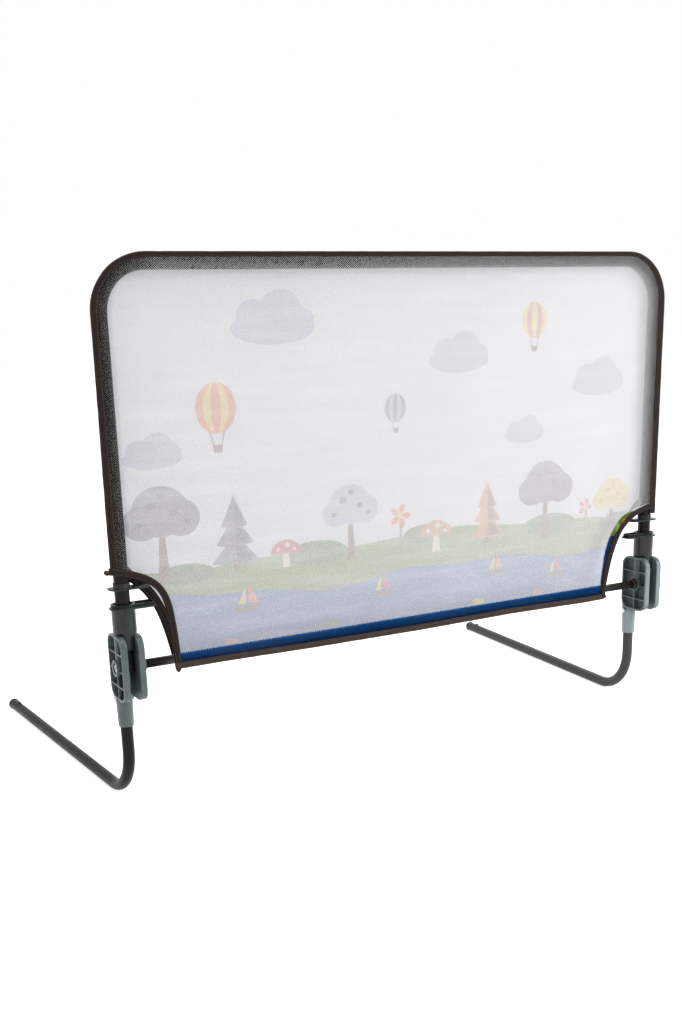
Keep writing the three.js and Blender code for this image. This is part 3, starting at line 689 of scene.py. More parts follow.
def flat_cloth(border, spacing, rings=()):
    """Triangles that fill the border, with edges along the rings: points and faces."""
    lines = [evenly(np.vstack([ring, ring[:1]]), spacing)[:-1] for ring in (border, *rings)]
    fixed = np.vstack(lines)
    edges, start = [], 0
    for line in lines:
        count = len(line)
        edges += [(start + k, start + (k + 1) % count) for k in range(count)]
        start += count
    tree = kdtree.KDTree(len(fixed))
    for k, (x, z) in enumerate(fixed):
        tree.insert((x, z, 0), k)
    tree.balance()
    low, high = lines[0].min(0), lines[0].max(0)
    row_gap = spacing * math.sqrt(3) / 2
    loose = [
        (low[0] + (i + 0.5 * (j % 2)) * spacing, low[1] + j * row_gap)
        for j in range(int((high[1] - low[1]) / row_gap) + 1)
        for i in range(int((high[0] - low[0]) / spacing) + 1)
    ]
    loose = np.array([p for p in loose if tree.find((p[0], p[1], 0))[2] > 0.5 * spacing])
    loose = loose[inside(loose, lines[0])]
    points = [Vector(p) for p in np.vstack([fixed, loose])]
    points, _, faces, *_ = delaunay_2d_cdt(points, edges, [], 1, join_distance)
    flat = np.array([tuple(p) for p in points])
    kept = inside(middles(flat, faces), lines[0])
    return flat, [tuple(face) for face, keep in zip(faces, kept) if keep]


def cloth_piece(name, points, faces, flat):
    """A piece of cloth or tape; its UV map holds its points' flat places in metres."""
    mesh = bpy.data.meshes.new(name)
    mesh.from_pydata(points, [], faces)
    layer = mesh.uv_layers.new(name="cloth")
    index = np.zeros(len(mesh.loops), np.int32)
    mesh.loops.foreach_get("vertex_index", index)
    layer.data.foreach_set("uv", np.asarray(flat)[index].astype(np.float32).ravel())
    piece = bpy.data.objects.new(name, mesh)
    bpy.context.scene.collection.objects.link(piece)
    return piece


def cloth_shell(name, flat, faces, place, thickness):
    """A thin closed shell: the printed side's faces first, then the inner side's, then the rim's."""
    count = len(flat)
    points = [place(x, z, side * thickness / 2) for side in (1, -1) for x, z in flat]
    ways = [way for face in faces for way in zip(face, face[1:] + face[:1])]
    known = set(ways)
    rim = [(a, b) for a, b in ways if (b, a) not in known]
    made = [face[::-1] for face in faces]
    made += [tuple(v + count for v in face) for face in faces]
    made += [(b + count, a + count, a, b) for a, b in rim]
    piece = cloth_piece(name, points, made, np.vstack([flat, flat]))
    piece.data.polygons.foreach_set("use_smooth", [k < 2 * len(faces) for k in range(len(made))])
    return piece, len(rim)


def from_tube(x, z):
    """Nearest point of the frame's centre line, the way outward from it, and how far outside it."""
    dx, dz = abs(x) - corner_x, z - corner_z
    sign = 1 if x > 0 else -1
    if dx > 0 and dz > 0:
        far = math.hypot(dx, dz)
        way = (sign * dx / far, dz / far)
        near = (sign * (corner_x + corner_radius * dx / far), corner_z + corner_radius * dz / far)
        return near, way, far - corner_radius
    if dz > dx and dz > 0:
        return (x, top_height), (0, 1), dz - corner_radius
    return (sign * upright_x, z), (sign, 0), dx - corner_radius


def smooth_step(value, low, high):
    """0 below low, 1 above high, and an S-curve between them."""
    t = min(1.0, max(0.0, (value - low) / (high - low)))
    return t * t * (3 - 2 * t)


def held_share(x, z, foot, room):
    """0 where the cloth is held at the tubes or the crossbar, 1 away from them."""
    _, _, out = from_tube(x, z)
    return smooth_step(-out, tube_hold, room) * smooth_step(z - foot, bar_hold, room)


def soft_waves(x, z, seed):
    """Long soft creases across the cloth, as a height from about -1 to 1."""
    long = noise.noise(Vector((x * 7, z * 42, seed)))
    fine = noise.noise(Vector((x * 21 + 0.4 * z, z * 120, seed + 4)))
    slant = noise.noise(Vector((x * 18 + z * 26, z * 12 - x * 6, seed + 9)))
    return 0.6 * long + 0.22 * fine + 0.45 * slant


def panel_place(x, z, rise):
    """Where a flat point of the printed panel lies on the frame, raised to its printed side."""
    r = tube_to_cloth + rise
    if z < pocket_z:
        turn = (pocket_z - z) / tube_to_cloth
        if turn <= math.pi:
            return x, hinge_y + r * math.cos(turn), pocket_z - r * math.sin(turn)
        return x, hinge_y - r, pocket_z + (turn - math.pi) * tube_to_cloth
    near, way, out = from_tube(x, z)
    if out > 0:
        turn = out / tube_to_cloth
        return (near[0] + way[0] * r * math.sin(turn), hinge_y + r * math.cos(turn),
                near[1] + way[1] * r * math.sin(turn))
    edge = far_edges[1 if x > 0 else -1]
    free = smooth_step(float(np.hypot(edge[:, 0] - x, edge[:, 1] - z).min()), *panel_edge_room)
    lift = (panel_wave * soft_waves(x, z, panel_wave_seed)
            * held_share(x, z, pocket_z, panel_wave_room) * free)
    return x, hinge_y + r - panel_dip * held_share(x, z, pocket_z, panel_dip_room) + lift, z


def ellipse(x, z, wide, tall, count=26, turn=0.0):
    """An ellipse's outline, turned by an angle."""
    a = np.linspace(0, 2 * math.pi, count, endpoint=False)
    px, pz = wide / 2 * np.cos(a), tall / 2 * np.sin(a)
    c, s = math.cos(turn), math.sin(turn)
    return np.stack([x + px * c - pz * s, z + px * s + pz * c], 1)


def drawn(x, z, size, corners):
    """A small outline given in shares of its size."""
    return np.array([(x + size * a, z + size * b) for a, b in corners])


def lobed(x, z, size, ink, lobes, count=26):
    """Ellipses in one ink, their places, widths and heights given in shares of the size."""
    return [(ellipse(x + size * a, z + size * b, size * w, size * h, count), ink) for a, b, w, h in lobes]


sky_ink = tone(232, 233, 239)
meadow_ink = tone(136, 156, 74)
bush_ink = tone(100, 134, 70)
water_ink = tone(62, 112, 178)
wave_ink = tone(120, 160, 214)
deep_ink = tone(4, 46, 92)
# The near strip's blues darken downwards into the deep ink: painted shade on the pocket round the crossbar.
strip_ink = tone(5, 70, 128)
strip_shade_ink = tone(4, 52, 98)
grey_ink = tone(128, 122, 136)
dark_grey_ink = tone(70, 64, 76)
cloud_ink = tone(186, 190, 208)
ochre_ink = tone(206, 150, 76)
brown_ink = tone(124, 86, 62)
yellow_ink = tone(232, 208, 96)
orange_ink = tone(230, 126, 58)
red_ink = tone(206, 80, 86)
leaf_ink = tone(104, 130, 54)
stalk_ink = tone(236, 226, 206)


def cloud(x, z, size):
    """A cloud of four lobes."""
    return lobed(x, z, size, cloud_ink, [
        (0, 0, 1.0, 0.34), (-0.22, 0.12, 0.42, 0.36), (0.1, 0.18, 0.5, 0.44), (0.34, 0.08, 0.3, 0.26)])


def round_tree(x, z, size, crown, shade):
    """A tree with a forked trunk and a spotted crown of three lobes."""
    trunk = drawn(x, z, size, [
        (-0.06, 0), (0.07, 0), (0.035, 0.45), (0.16, 0.62), (0.0, 0.52), (-0.03, 0.45)])
    spots = [(-0.1, 0.78, 0.12), (0.14, 0.7, 0.1), (0.02, 0.88, 0.09), (-0.24, 0.6, 0.09), (0.28, 0.6, 0.08)]
    return ([(trunk, brown_ink)]
            + lobed(x, z, size, crown, [
                (0, 0.72, 0.62, 0.52), (-0.2, 0.62, 0.42, 0.36), (0.22, 0.64, 0.42, 0.38)])
            + lobed(x, z, size, shade, [(a, b, w, w * 0.7) for a, b, w in spots], 14))


def fir_tree(x, z, size, crown, shade):
    """A fir of three tiers, each with a shaded half."""
    tiers = [(0.34, 0.12, 0.5), (0.27, 0.36, 0.74), (0.19, 0.6, 1.0)]
    made = [(drawn(x, z, size, [(-0.04, 0), (0.04, 0), (0.04, 0.16), (-0.04, 0.16)]), brown_ink)]
    for wide, low, high in tiers:
        made.append((drawn(x, z, size, [(-wide, low), (-wide * 0.4, low - 0.03), (wide * 0.4, low - 0.03),
                                        (wide, low), (0, high)]), crown))
        made.append((drawn(x, z, size, [(0, low), (wide * 0.8, low), (0.02, high - 0.08)]), shade))
    return made


def mushroom(x, z, size, cap):
    """A mushroom with three pale dots on its cap."""
    dome = [(0.5 * math.cos(a), 0.42 + 0.42 * math.sin(a)) for a in np.linspace(0, math.pi, 16)]
    stalk = drawn(x, z, size, [(-0.12, 0), (0.13, 0), (0.09, 0.44), (-0.09, 0.44)])
    dots = [(-0.25, 0.56, 0.12), (0.05, 0.68, 0.15), (0.29, 0.53, 0.11)]
    return ([(stalk, stalk_ink), (drawn(x, z, size, dome), cap)]
            + lobed(x, z, size, sky_ink, [(a, b, d, d) for a, b, d in dots], 12))


def flower(x, z, size, petal):
    """A flower of five petals with one leaf on its stem."""
    stem = drawn(x, z, size, [(-0.025, 0), (0.025, 0), (0.03, 0.72), (-0.01, 0.72)])
    leaf = ellipse(x + 0.13 * size, z + 0.28 * size, 0.26 * size, 0.1 * size, 14, 0.6)
    around = np.linspace(0, 2 * math.pi, 6)[:5]
    petals = [(ellipse(x + 0.15 * size * math.cos(a), z + 0.78 * size + 0.15 * size * math.sin(a),
                       0.2 * size, 0.13 * size, 14, a), petal) for a in around]
    return [(stem, leaf_ink), (leaf, leaf_ink), *petals,
            (ellipse(x, z + 0.78 * size, 0.13 * size, 0.13 * size, 12), yellow_ink)]


def sailboat(x, z, size, sail):
    """A boat with a mainsail and a yellow jib."""
    hull = drawn(x, z, size, [(-0.5, 0.2), (0.5, 0.2), (0.34, 0), (-0.32, 0)])
    mast = drawn(x, z, size, [(-0.02, 0.2), (0.02, 0.2), (0.02, 1.0), (-0.02, 1.0)])
    main = drawn(x, z, size, [(0.05, 0.27), (0.42, 0.27), (0.05, 0.98)])
    jib = drawn(x, z, size, [(-0.05, 0.27), (-0.34, 0.27), (-0.05, 0.84)])
    return [(hull, brown_ink), (mast, dark_grey_ink), (main, sail), (jib, yellow_ink)]


def balloon(x, z, size, skin, stripe):
    """A hot-air balloon with gores in two colours, two ropes and a basket."""
    bag = ellipse(x, z, 0.8 * size, 0.92 * size, 30)
    gores = [(ellipse(x, z, w * size, 0.92 * size), c) for w, c in ((0.5, stripe), (0.2, skin))]
    left_rope = drawn(x, z, size, [(-0.16, -0.42), (-0.13, -0.42), (-0.07, -0.66), (-0.09, -0.66)])
    right_rope = drawn(x, z, size, [(0.13, -0.42), (0.16, -0.42), (0.09, -0.66), (0.07, -0.66)])
    basket = drawn(x, z, size, [(-0.1, -0.66), (0.1, -0.66), (0.08, -0.8), (-0.08, -0.8)])
    return [(bag, skin), *gores, (left_rope, dark_grey_ink), (right_rope, dark_grey_ink),
            (basket, brown_ink)]


band_foot, band_reach = 0.14, 0.5
ripple_height, ripple_half = 0.004, 0.0012


def band(top):
    """Everything below a wavy top edge, down to the bands' foot, as one ring."""
    x = np.linspace(-band_reach, band_reach, 90)
    upper = np.stack([x, top(x)], 1)
    return np.vstack([upper[::-1], [(-band_reach, band_foot), (band_reach, band_foot)]])


def level(height):
    """A band's level top edge."""
    return lambda x: np.full_like(x, height)


def on_strip(height):
    """Where a height of the near strip, which goes on round the crossbar, is on the flat cloth."""
    return height + (2 * (pocket_z - height) - pocket_length)


def ripple(x, z, length):
    """A small curved wave on the water."""
    t = np.linspace(-0.5, 0.5, 22)
    crest = ripple_height * np.sin(t * 12)
    upper = np.stack([x + length * t, z + crest + ripple_half], 1)
    return np.vstack([upper, np.stack([x + length * t, z + crest - ripple_half], 1)[::-1]])


def meadow_top(x):
    """The meadow's rolling top edge, which drops at the right end."""
    rolling = 0.3155 + 0.005 * np.sin(9 * x + 1.0) + 0.003 * np.sin(23 * x)
    return rolling - 0.012 * np.maximum(0, (x - 0.2) / 0.23) ** 2


def water_top(x):
    """The water's wavy top edge, which rises at the left end."""
    wavy = 0.266 + 0.006 * np.sin(14 * x + 0.5) + 0.004 * np.sin(31 * x + 2)
    return wavy + 0.014 * np.maximum(0, (-x - 0.2) / 0.23)


deep_top = 0.196
strip_bands = ((0.1976, strip_shade_ink), (0.2026, strip_ink))  # the near strip is painted darker downwards: painted shade on the pocket round the crossbar
print_shapes = [(band(meadow_top), meadow_ink)]
for x, size in ((-0.34, 0.05), (-0.15, 0.06), (0.03, 0.05), (0.25, 0.06), (0.385, 0.05)):
    print_shapes.append((ellipse(x, float(meadow_top(x)) - 0.004, size * 1.6, size * 0.55), bush_ink))
for x, z, size in ((-0.2, 0.607, 0.12), (0.085, 0.556, 0.1), (0.335, 0.512, 0.1), (-0.374, 0.455, 0.08),
                   (0.2, 0.446, 0.07)):
    print_shapes += cloud(x, z, size)
print_shapes += balloon(-0.285, 0.512, 0.07, orange_ink, yellow_ink)
print_shapes += balloon(0.215, 0.607, 0.055, yellow_ink, red_ink)
print_shapes += balloon(-0.02, 0.497, 0.042, grey_ink, cloud_ink)
print_shapes += round_tree(-0.369, 0.298, 0.125, grey_ink, dark_grey_ink)
print_shapes += fir_tree(-0.268, 0.3, 0.1, grey_ink, dark_grey_ink)
print_shapes += mushroom(-0.195, 0.296, 0.045, red_ink)
print_shapes += round_tree(-0.095, 0.296, 0.105, cloud_ink, dark_grey_ink)
print_shapes += flower(-0.015, 0.293, 0.07, orange_ink)
print_shapes += mushroom(0.045, 0.29, 0.055, ochre_ink)
print_shapes += fir_tree(0.135, 0.293, 0.09, ochre_ink, brown_ink)
print_shapes += round_tree(0.24, 0.287, 0.12, grey_ink, brown_ink)
print_shapes += flower(0.318, 0.285, 0.055, red_ink)
print_shapes += round_tree(0.37, 0.28, 0.09, yellow_ink, ochre_ink)
print_shapes.append((band(water_top), water_ink))
for x, z, length in ((-0.33, 0.252, 0.05), (-0.2, 0.232, 0.06), (-0.11, 0.258, 0.05), (0.04, 0.222, 0.07),
                     (0.1, 0.246, 0.05), (0.19, 0.23, 0.05), (0.3, 0.248, 0.05), (-0.29, 0.222, 0.05)):
    print_shapes.append((ripple(x, z, length), wave_ink))
print_shapes += sailboat(-0.255, 0.243, 0.04, orange_ink)
print_shapes += sailboat(-0.045, 0.236, 0.036, red_ink)
print_shapes += sailboat(0.15, 0.243, 0.034, orange_ink)
print_shapes += sailboat(0.262, 0.226, 0.034, red_ink)
print_shapes.append((band(level(deep_top)), deep_ink))
for height, ink in strip_bands:
    print_shapes.append((band(level(on_strip(height))), ink))
# Small plants along the water's foot.
print_shapes += [
    (ellipse(-0.13, 0.207, 0.03, 0.012), leaf_ink), (ellipse(0.12, 0.206, 0.022, 0.01), yellow_ink),
    (ellipse(0.23, 0.205, 0.018, 0.012), orange_ink), (ellipse(-0.28, 0.204, 0.02, 0.009), orange_ink),
]


def face_inks(flat, faces, shapes, ground):
    """The colour of the last shape over each face's middle."""
    centres = middles(flat, faces)
    colours = np.tile(np.array(ground, np.float32), (len(faces), 1))
    for ring, colour in shapes:
        low, high = ring.min(0), ring.max(0)
        close = np.nonzero(((centres >= low) & (centres <= high)).all(1))[0]
        if len(close):
            colours[close[inside(centres[close], ring)]] = colour
    return colours


def put_ink(piece, colours):
    """Stores one colour for each face in the attribute ink."""
    counts = [len(face.vertices) for face in piece.data.polygons]
    layer = piece.data.color_attributes.new("ink", "FLOAT_COLOR", "CORNER")
    layer.data.foreach_set("color", np.repeat(colours, counts, axis=0).astype(np.float32).ravel())


far_corner, far_shares = far_cut
far_edges = {sign: cut_edge(sign, far_corner, far_shares, far_foot) for sign in sides.values()}
wrap_length = tube_to_cloth * wrap_angle
strip_end = pocket_z - pocket_length - (net_foot + strip_overlap - pocket_z)
strip_left, strip_right = -near_cuts[-1][0] + strip_inset, near_cuts[1][0] - strip_inset
panel_border = np.vstack([
    [(strip_left, strip_end), (strip_right, strip_end)],
    [(strip_right, pocket_z - pocket_length)],
    far_edges[1][::-1],
    [(upright_x + wrap_length, wrap_ends[1])],
    outer_arc(wrap_length),
    [(-upright_x - wrap_length, wrap_ends[-1])],
    far_edges[-1],
    [(strip_left, pocket_z - pocket_length)],
])

# Narrow bands of small faces keep the print's long colour borders sharp.
wave_reach = 0.43
strip_band_ends = (-0.355, 0.33)
border_width = 0.0022
wave_x = np.linspace(-wave_reach, wave_reach, 160)
wave_lines = [np.stack([wave_x, top(wave_x)], 1) for top in (meadow_top, water_top, level(deep_top))]
wave_lines += [np.array([(x, on_strip(height)) for x in strip_band_ends]) for height, _ in strip_bands]
thin_bands = [np.vstack([line, (line - (0, border_width))[::-1]]) for line in wave_lines]
ring_low, ring_high = (-0.425, 0.17), (0.425, 0.68)
whole_rings = [ring for ring, _ in print_shapes
               if (ring.min(0) > ring_low).all() and (ring.max(0) < ring_high).all()]

# An unprinted lining lies along the left cut-out on the inner side.
lining_width, lining_margin = 0.013, 0.02
lining_top, lining_foot = 0.312, 0.232
seam_width = 0.002
lining_line = shifted(far_edges[-1], lining_width)
lined = far_edges[-1][:, 1] > lining_foot
lining_ring = np.vstack([shifted(far_edges[-1], -lining_margin)[lined], lining_line[lined][::-1]])
seam_line = lining_line[lined & (lining_line[:, 1] < lining_top)]
thin_bands.append(np.vstack([seam_line, shifted(seam_line, -seam_width)[::-1]]))
panel_flat, panel_faces = flat_cloth(panel_border, cloth_spacing, whole_rings + thin_bands)
printed_panel, rim_count = cloth_shell("printed_panel", panel_flat, panel_faces, panel_place,
                                       cloth_thickness)

# The inner side shows the print paler, and all of it is darkened as painted shade; the printed side is
# painted darker where it is drawn round the right upright, a painted shade there too.
unprinted = np.array(tone(248, 246, 248), np.float32)
inner_painted_shade = 0.87
right_painted_shade = 0.3
shade_from_tube, shade_across = (-0.004, 0.01), (0.36, 0.41)
print_inks = face_inks(panel_flat, panel_faces, print_shapes, sky_ink)
inner_inks = print_inks + (unprinted - print_inks) * show_through
centres = middles(panel_flat, panel_faces)
inner_inks[inside(centres, lining_ring)] = unprinted
inner_inks[:, :3] *= inner_painted_shade
inner_inks[:, 3] = 0  # alpha tells the inner side from the printed side
for k, (x, z) in enumerate(centres):
    round_right = smooth_step(from_tube(x, z)[2], *shade_from_tube) * smooth_step(x, *shade_across)
    print_inks[k, :3] *= 1 - right_painted_shade * round_right
put_ink(printed_panel, np.vstack([print_inks, inner_inks, np.tile(unprinted, (rim_count, 1))]))
thread_pitch = 0.0009


def cloth_place(tree, scale=(1.0, 1.0, 1.0)):
    """The flat cloth's coordinates in metres, times the scale."""
    place = add_node(tree, "ShaderNodeUVMap", {"uv_map": "cloth"})
    return add_node(tree, "ShaderNodeMapping", Vector=place.outputs[0], Scale=scale).outputs[0]


def threads(tree, vector, pitch):
    """Plain weave: rows of threads that pass over and under each other, from 0 to 1."""
    apart = add_node(tree, "ShaderNodeSeparateXYZ", Vector=vector)
    turn = math.pi / pitch
    warp = calculated(tree, "SINE", calculated(tree, "MULTIPLY", apart.outputs[0], turn))
    weft = calculated(tree, "SINE", calculated(tree, "MULTIPLY", apart.outputs[1], turn))
    both = calculated(tree, "MULTIPLY", warp, weft)
    return calculated(tree, "MULTIPLY_ADD", both, 0.5, 0.5)


def printed_cloth(name):
    """Polyester taffeta: the print's ink on a fine weave, with pale streaks along the threads painted as
    highlights of its creases.
    """
    finish, tree, shader = new_finish(name)
    place = cloth_place(tree)
    stored = add_node(tree, "ShaderNodeAttribute", {"attribute_name": "ink"})
    ink, printed_side = stored.outputs["Color"], stored.outputs["Alpha"]
    weave = threads(tree, place, thread_pitch)
    streaks = patterned(tree, cloth_place(tree, (6.0, 60.0, 1.0)), 1.0, 4.0)
    blotches = patterned(tree, place, 130.0, 3.0)
    shaded = mixed_colour(tree, between(tree, weave, 0.0, 1.0, 0.16, 0.0), ink, tone(120, 118, 124),
                          "MULTIPLY")
    paler = between(tree, printed_side, 0.0, 1.0, 1.0, 0.08)
    # Painted highlights: pale streaks where the creases catch the light, mostly on the inner side.
    painted_glint = calculated(tree, "MULTIPLY", between(tree, streaks, 0.45, 0.75, 0.0, 0.22), paler)
    pale = mixed_colour(tree, painted_glint, shaded, tone(250, 250, 252))
    lightened = calculated(tree, "MULTIPLY", between(tree, blotches, 0.3, 0.7, 0.0, 0.05), paler)
    creases = bumped(tree, streaks, 0.0009, 0.6)
    set_inputs(shader, Base_Color=mixed_colour(tree, lightened, pale, tone(232, 232, 238)),
               Roughness=between(tree, streaks, 0.3, 0.7, 0.9, 0.8),
               Normal=bumped(tree, weave, 0.00012, 0.5, creases), Specular_IOR_Level=0.03,
               Subsurface_Weight=0.5, Subsurface_Radius=(1.0, 1.0, 1.0), Subsurface_Scale=0.0012)
    return finish


panel_cloth = printed_cloth("printed_polyester")
printed_panel.data.materials.append(panel_cloth)
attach(printed_panel, "rail")
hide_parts("cover_print")

# Facing strip.
# At the right cut-out the net stops short of the tape, and a strip of the printed cloth
# shows between them.
facing_gap = 0.0003
facing_y = hinge_y - tube_to_cloth - facing_gap
facing_overlap = 0.0015
facing_tuck = 0.001
facing_spacing = 0.004
facing_start = 2  # the cut-out's first points lie beside the tube
facing_heights = (0.200, 0.231, 0.247, 0.270, 0.300, 0.312, 0.320)
facing_seen = (0.0070, 0.0080, 0.0100, 0.0122, 0.0125, 0.0066, 0.0030)  # at those heights
near_edges = {sign: cut_edge(sign, corner, shares, near_foot) for sign, (corner, shares) in near_cuts.items()}
right_edge = near_edges[1]
inward = shifted(right_edge, -1.0) - right_edge
facing_shares = np.interp(right_edge[:, 1], facing_heights, facing_seen)[:, None]
facing_ring = np.vstack([
    shifted(right_edge, -facing_tuck)[facing_start:],
    (right_edge + inward * (facing_shares + facing_overlap))[facing_start:][::-1],
])


def sheet_piece(name, flat, faces, place):
    """A single layer of cloth, laid where place puts its flat points."""
    piece = cloth_piece(name, [place(x, z) for x, z in flat], faces, flat)
    piece.data.polygons.foreach_set("use_smooth", [True] * len(faces))
    return piece


facing_flat, facing_faces = flat_cloth(facing_ring, facing_spacing)
facing = sheet_piece("facing_strip", facing_flat, facing_faces, lambda x, z: (x, facing_y, z))
# The facing's unprinted white is painted grey and its green darker than the panel's meadow: painted shade.
facing_shaded_green = tone(86, 102, 36)
facing_ochre = tone(176, 118, 50)
facing_shaded_white = tone(196, 194, 198)
facing_green_top, facing_deep_top = 0.3165, 0.282
facing_shapes = [
    (band(level(facing_green_top)), facing_shaded_green),
    (ellipse(0.3775, 0.3035, 0.009, 0.005, turn=0.6), facing_ochre),
    (ellipse(0.366, 0.293, 0.008, 0.016), meadow_ink),
    (band(level(facing_deep_top)), deep_ink),
]
put_ink(facing, face_inks(facing_flat, facing_faces, facing_shapes, facing_shaded_white))
facing.data.materials.append(panel_cloth)
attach(facing, "rail")
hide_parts("cover_print")

# Net.
# White warp-knitted mesh on the room side, held in the binding along the sides and the top.
# Its lower edge is cut and shows the mesh's small teeth.
net_radius = 0.0112
net_wrap = 0.0078
net_ends = {-1: 0.3235, 1: 0.3195}
tooth = 0.0022
tooth_depth = 0.0009
net_wave, net_wave_seed, net_wave_room = 0.0007, 11, 0.05
net_dip, net_dip_room = 0.0022, 0.16
net_edge_room = (0.016, 0.06)
fold_x, fold_z = 0.352, 0.205
fold_height = 0.0012
folds_round = 17
fold_start, fold_end = (0.0, 0.03), (0.05, 0.13)  # outward from there
fold_tube_room = (0.004, 0.03)


def toothed(line):
    """The line cut into the mesh's small teeth."""
    line = evenly(np.asarray(line), tooth / 2)
    offsets = shifted(line, tooth_depth)
    return np.where((np.arange(len(line)) % 2 == 0)[:, None], line, offsets)


def net_place(x, z):
    """Where a flat point of the net lies on the frame."""
    near, way, out = from_tube(x, z)
    if out > 0:
        turn = out / net_radius
        return (near[0] + way[0] * net_radius * math.sin(turn), hinge_y - net_radius * math.cos(turn),
                near[1] + way[1] * net_radius * math.sin(turn))
    edge = right_edge if x > 0 else near_edges[-1]
    free = smooth_step(float(np.hypot(edge[:, 0] - x, edge[:, 1] - z).min()), *net_edge_room)
    lift = net_wave * soft_waves(x, z, net_wave_seed) * held_share(x, z, net_foot, net_wave_room) * free
    dip = net_dip * held_share(x, z, net_foot, net_dip_room) * free
    return x, hinge_y - net_radius + dip + lift - corner_folds(x, z) * free, z


def corner_folds(x, z):
    """Pulled folds that fan out from the right cut-out."""
    dx, dz = x - fold_x, z - fold_z
    far = math.hypot(dx, dz)
    turn = math.atan2(dz, -dx)
    reach = smooth_step(far, *fold_start) * (1 - smooth_step(far, *fold_end))
    _, _, out = from_tube(x, z)
    return fold_height * math.sin(turn * folds_round) * reach * smooth_step(-out, *fold_tube_room)


left_edge = near_edges[-1]
left_part = left_edge[left_edge[:, 1] > net_foot]
right_line = right_edge + inward * facing_shares
right_part = right_line[(right_line[:, 1] > net_foot) & (right_line[:, 0] < upright_x)]
net_border = np.vstack([
    toothed([(left_part[-1][0], net_foot), (right_part[-1][0], net_foot)]),
    right_part[::-1],
    [(upright_x + net_wrap, net_ends[1])],
    outer_arc(net_wrap),
    [(-upright_x - net_wrap, net_ends[-1])],
    left_part,
])
net_flat, net_faces = flat_cloth(net_border, cloth_spacing)
net = sheet_piece("net_panel", net_flat, net_faces, net_place)
hole_pitch_across, hole_pitch_up = 0.003, 0.0026
left_stretch, right_stretch = 1.4, 0.85  # the holes are pulled wider towards the left end
# Over the tubes they are pulled wider still, so the dark tubes show through as painted shade, most on the
# left: by how much, and between which distances outside the tubes' centre line.
frame_pull, frame_pull_out = 2.0, (-0.0115, 0.0015)
left_pull, left_pull_out = 15.0, (-0.0115, 0.006)
right_pull, right_pull_out = 2.2, (-0.0225, 0.001)
side_pull_start, side_pull_end = 0.36, 0.42  # across, from the middle
hole_edge = (0.18, 0.4)


def outside_tubes(tree, across, up):
    """How far a flat point lies outside the tubes' centre line, also round its corners."""
    past_side = calculated(tree, "MAXIMUM", calculated(
        tree, "SUBTRACT", calculated(tree, "ABSOLUTE", across), corner_x))
    past_top = calculated(tree, "MAXIMUM", calculated(tree, "SUBTRACT", up, corner_z))
    squares = calculated(tree, "MULTIPLY_ADD", past_side, past_side,
                         calculated(tree, "MULTIPLY", past_top, past_top))
    return calculated(tree, "SUBTRACT", calculated(tree, "SQRT", squares), corner_radius)


def knitted_net(name):
    """White knitted polyester net: a lattice of holes on the diagonal, open by its alpha."""
    finish, tree, shader = new_finish(name)
    across, up = add_node(tree, "ShaderNodeSeparateXYZ", Vector=cloth_place(tree)).outputs[:2]
    ways = []
    for sign in (1, -1):
        along = calculated(tree, "MULTIPLY", across, math.pi / hole_pitch_across)
        phase = calculated(tree, "MULTIPLY_ADD", up, sign * math.pi / hole_pitch_up, along)
        ways.append(calculated(tree, "ABSOLUTE", calculated(tree, "SINE", phase)))
    hole = calculated(tree, "MINIMUM", *ways)
    out = outside_tubes(tree, across, up)
    stretch = between(tree, across, -upright_x, upright_x, left_stretch, right_stretch)
    on_left = between(tree, across, -side_pull_end, -side_pull_start, 1.0, 0.0)
    on_right = between(tree, across, side_pull_start, side_pull_end, 0.0, 1.0)
    for pull, pull_out, where in ((frame_pull, frame_pull_out, 1.0), (left_pull, left_pull_out, on_left),
                                  (right_pull, right_pull_out, on_right)):
        pulled = between(tree, out, *pull_out, 0.0, pull)
        stretch = calculated(tree, "MULTIPLY_ADD", pulled, where, stretch)
    solid = between(tree, calculated(tree, "MULTIPLY", hole, stretch), *hole_edge, 1.0, 0.0)
    patches = patterned(tree, cloth_place(tree), 60.0, 3.0)
    uneven = calculated(tree, "MULTIPLY_ADD", patches, 0.06, calculated(tree, "SUBTRACT", solid, 0.03),
                        clamp=True)
    set_inputs(shader, Alpha=uneven, Specular_IOR_Level=0.3,
               Base_Color=mixed_colour(tree, hole, tone(255, 254, 255), tone(246, 245, 250)),
               Roughness=between(tree, patches, 0.3, 0.7, 0.55, 0.75),
               Normal=bumped(tree, hole, 0.0002, 0.5))
    return finish


net.data.materials.append(knitted_net("knitted_net"))
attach(net, "rail")
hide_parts("cover_net")

# Binding along the sides and the top.
# Brown woven tape folded over the raw edges of net and print and sewn through, so it stands
# off the tube as a flat band.
piping_width = 0.008
piping_thickness = 0.003
# Its inner and outer edge and its middle, outward and nearer than the tube's centre.
piping_left, piping_left_foot = (0.0056, 0.0138, 0.0095), (0.0056, 0.0156, 0.0095)
piping_top, piping_right = (0.0047, 0.0112, 0.0095), (-0.0005, 0.0113, 0.0108)
stitch_pitch, rib_pitch = 0.0028, 0.0011
stitch_edge = (0.0002, 0.0004)  # a stitch thread ends between these distances from its line
piping_ends = {-1: 0.3238, 1: 0.3095}
station_gap = 0.006
sewn_swell, swells_per_metre = 0.05, 90
sewn_slide, slides_per_metre = 0.00025, 45
tape_edge_angle = math.radians(60)


def tape_section(width, thickness):
    """A folded tape seen end on: across its width, and out from the cloth."""
    w, t = width / 2, thickness / 2
    return [(-w, -0.45 * t), (-w * 0.97, 0.3 * t), (-w * 0.8, 0.85 * t), (-w * 0.3, t), (w * 0.3, t),
            (w * 0.8, 0.85 * t), (w * 0.97, 0.3 * t), (w, -0.45 * t), (w * 0.9, -0.9 * t), (w * 0.4, -t),
            (-w * 0.4, -t), (-w * 0.9, -0.9 * t)]


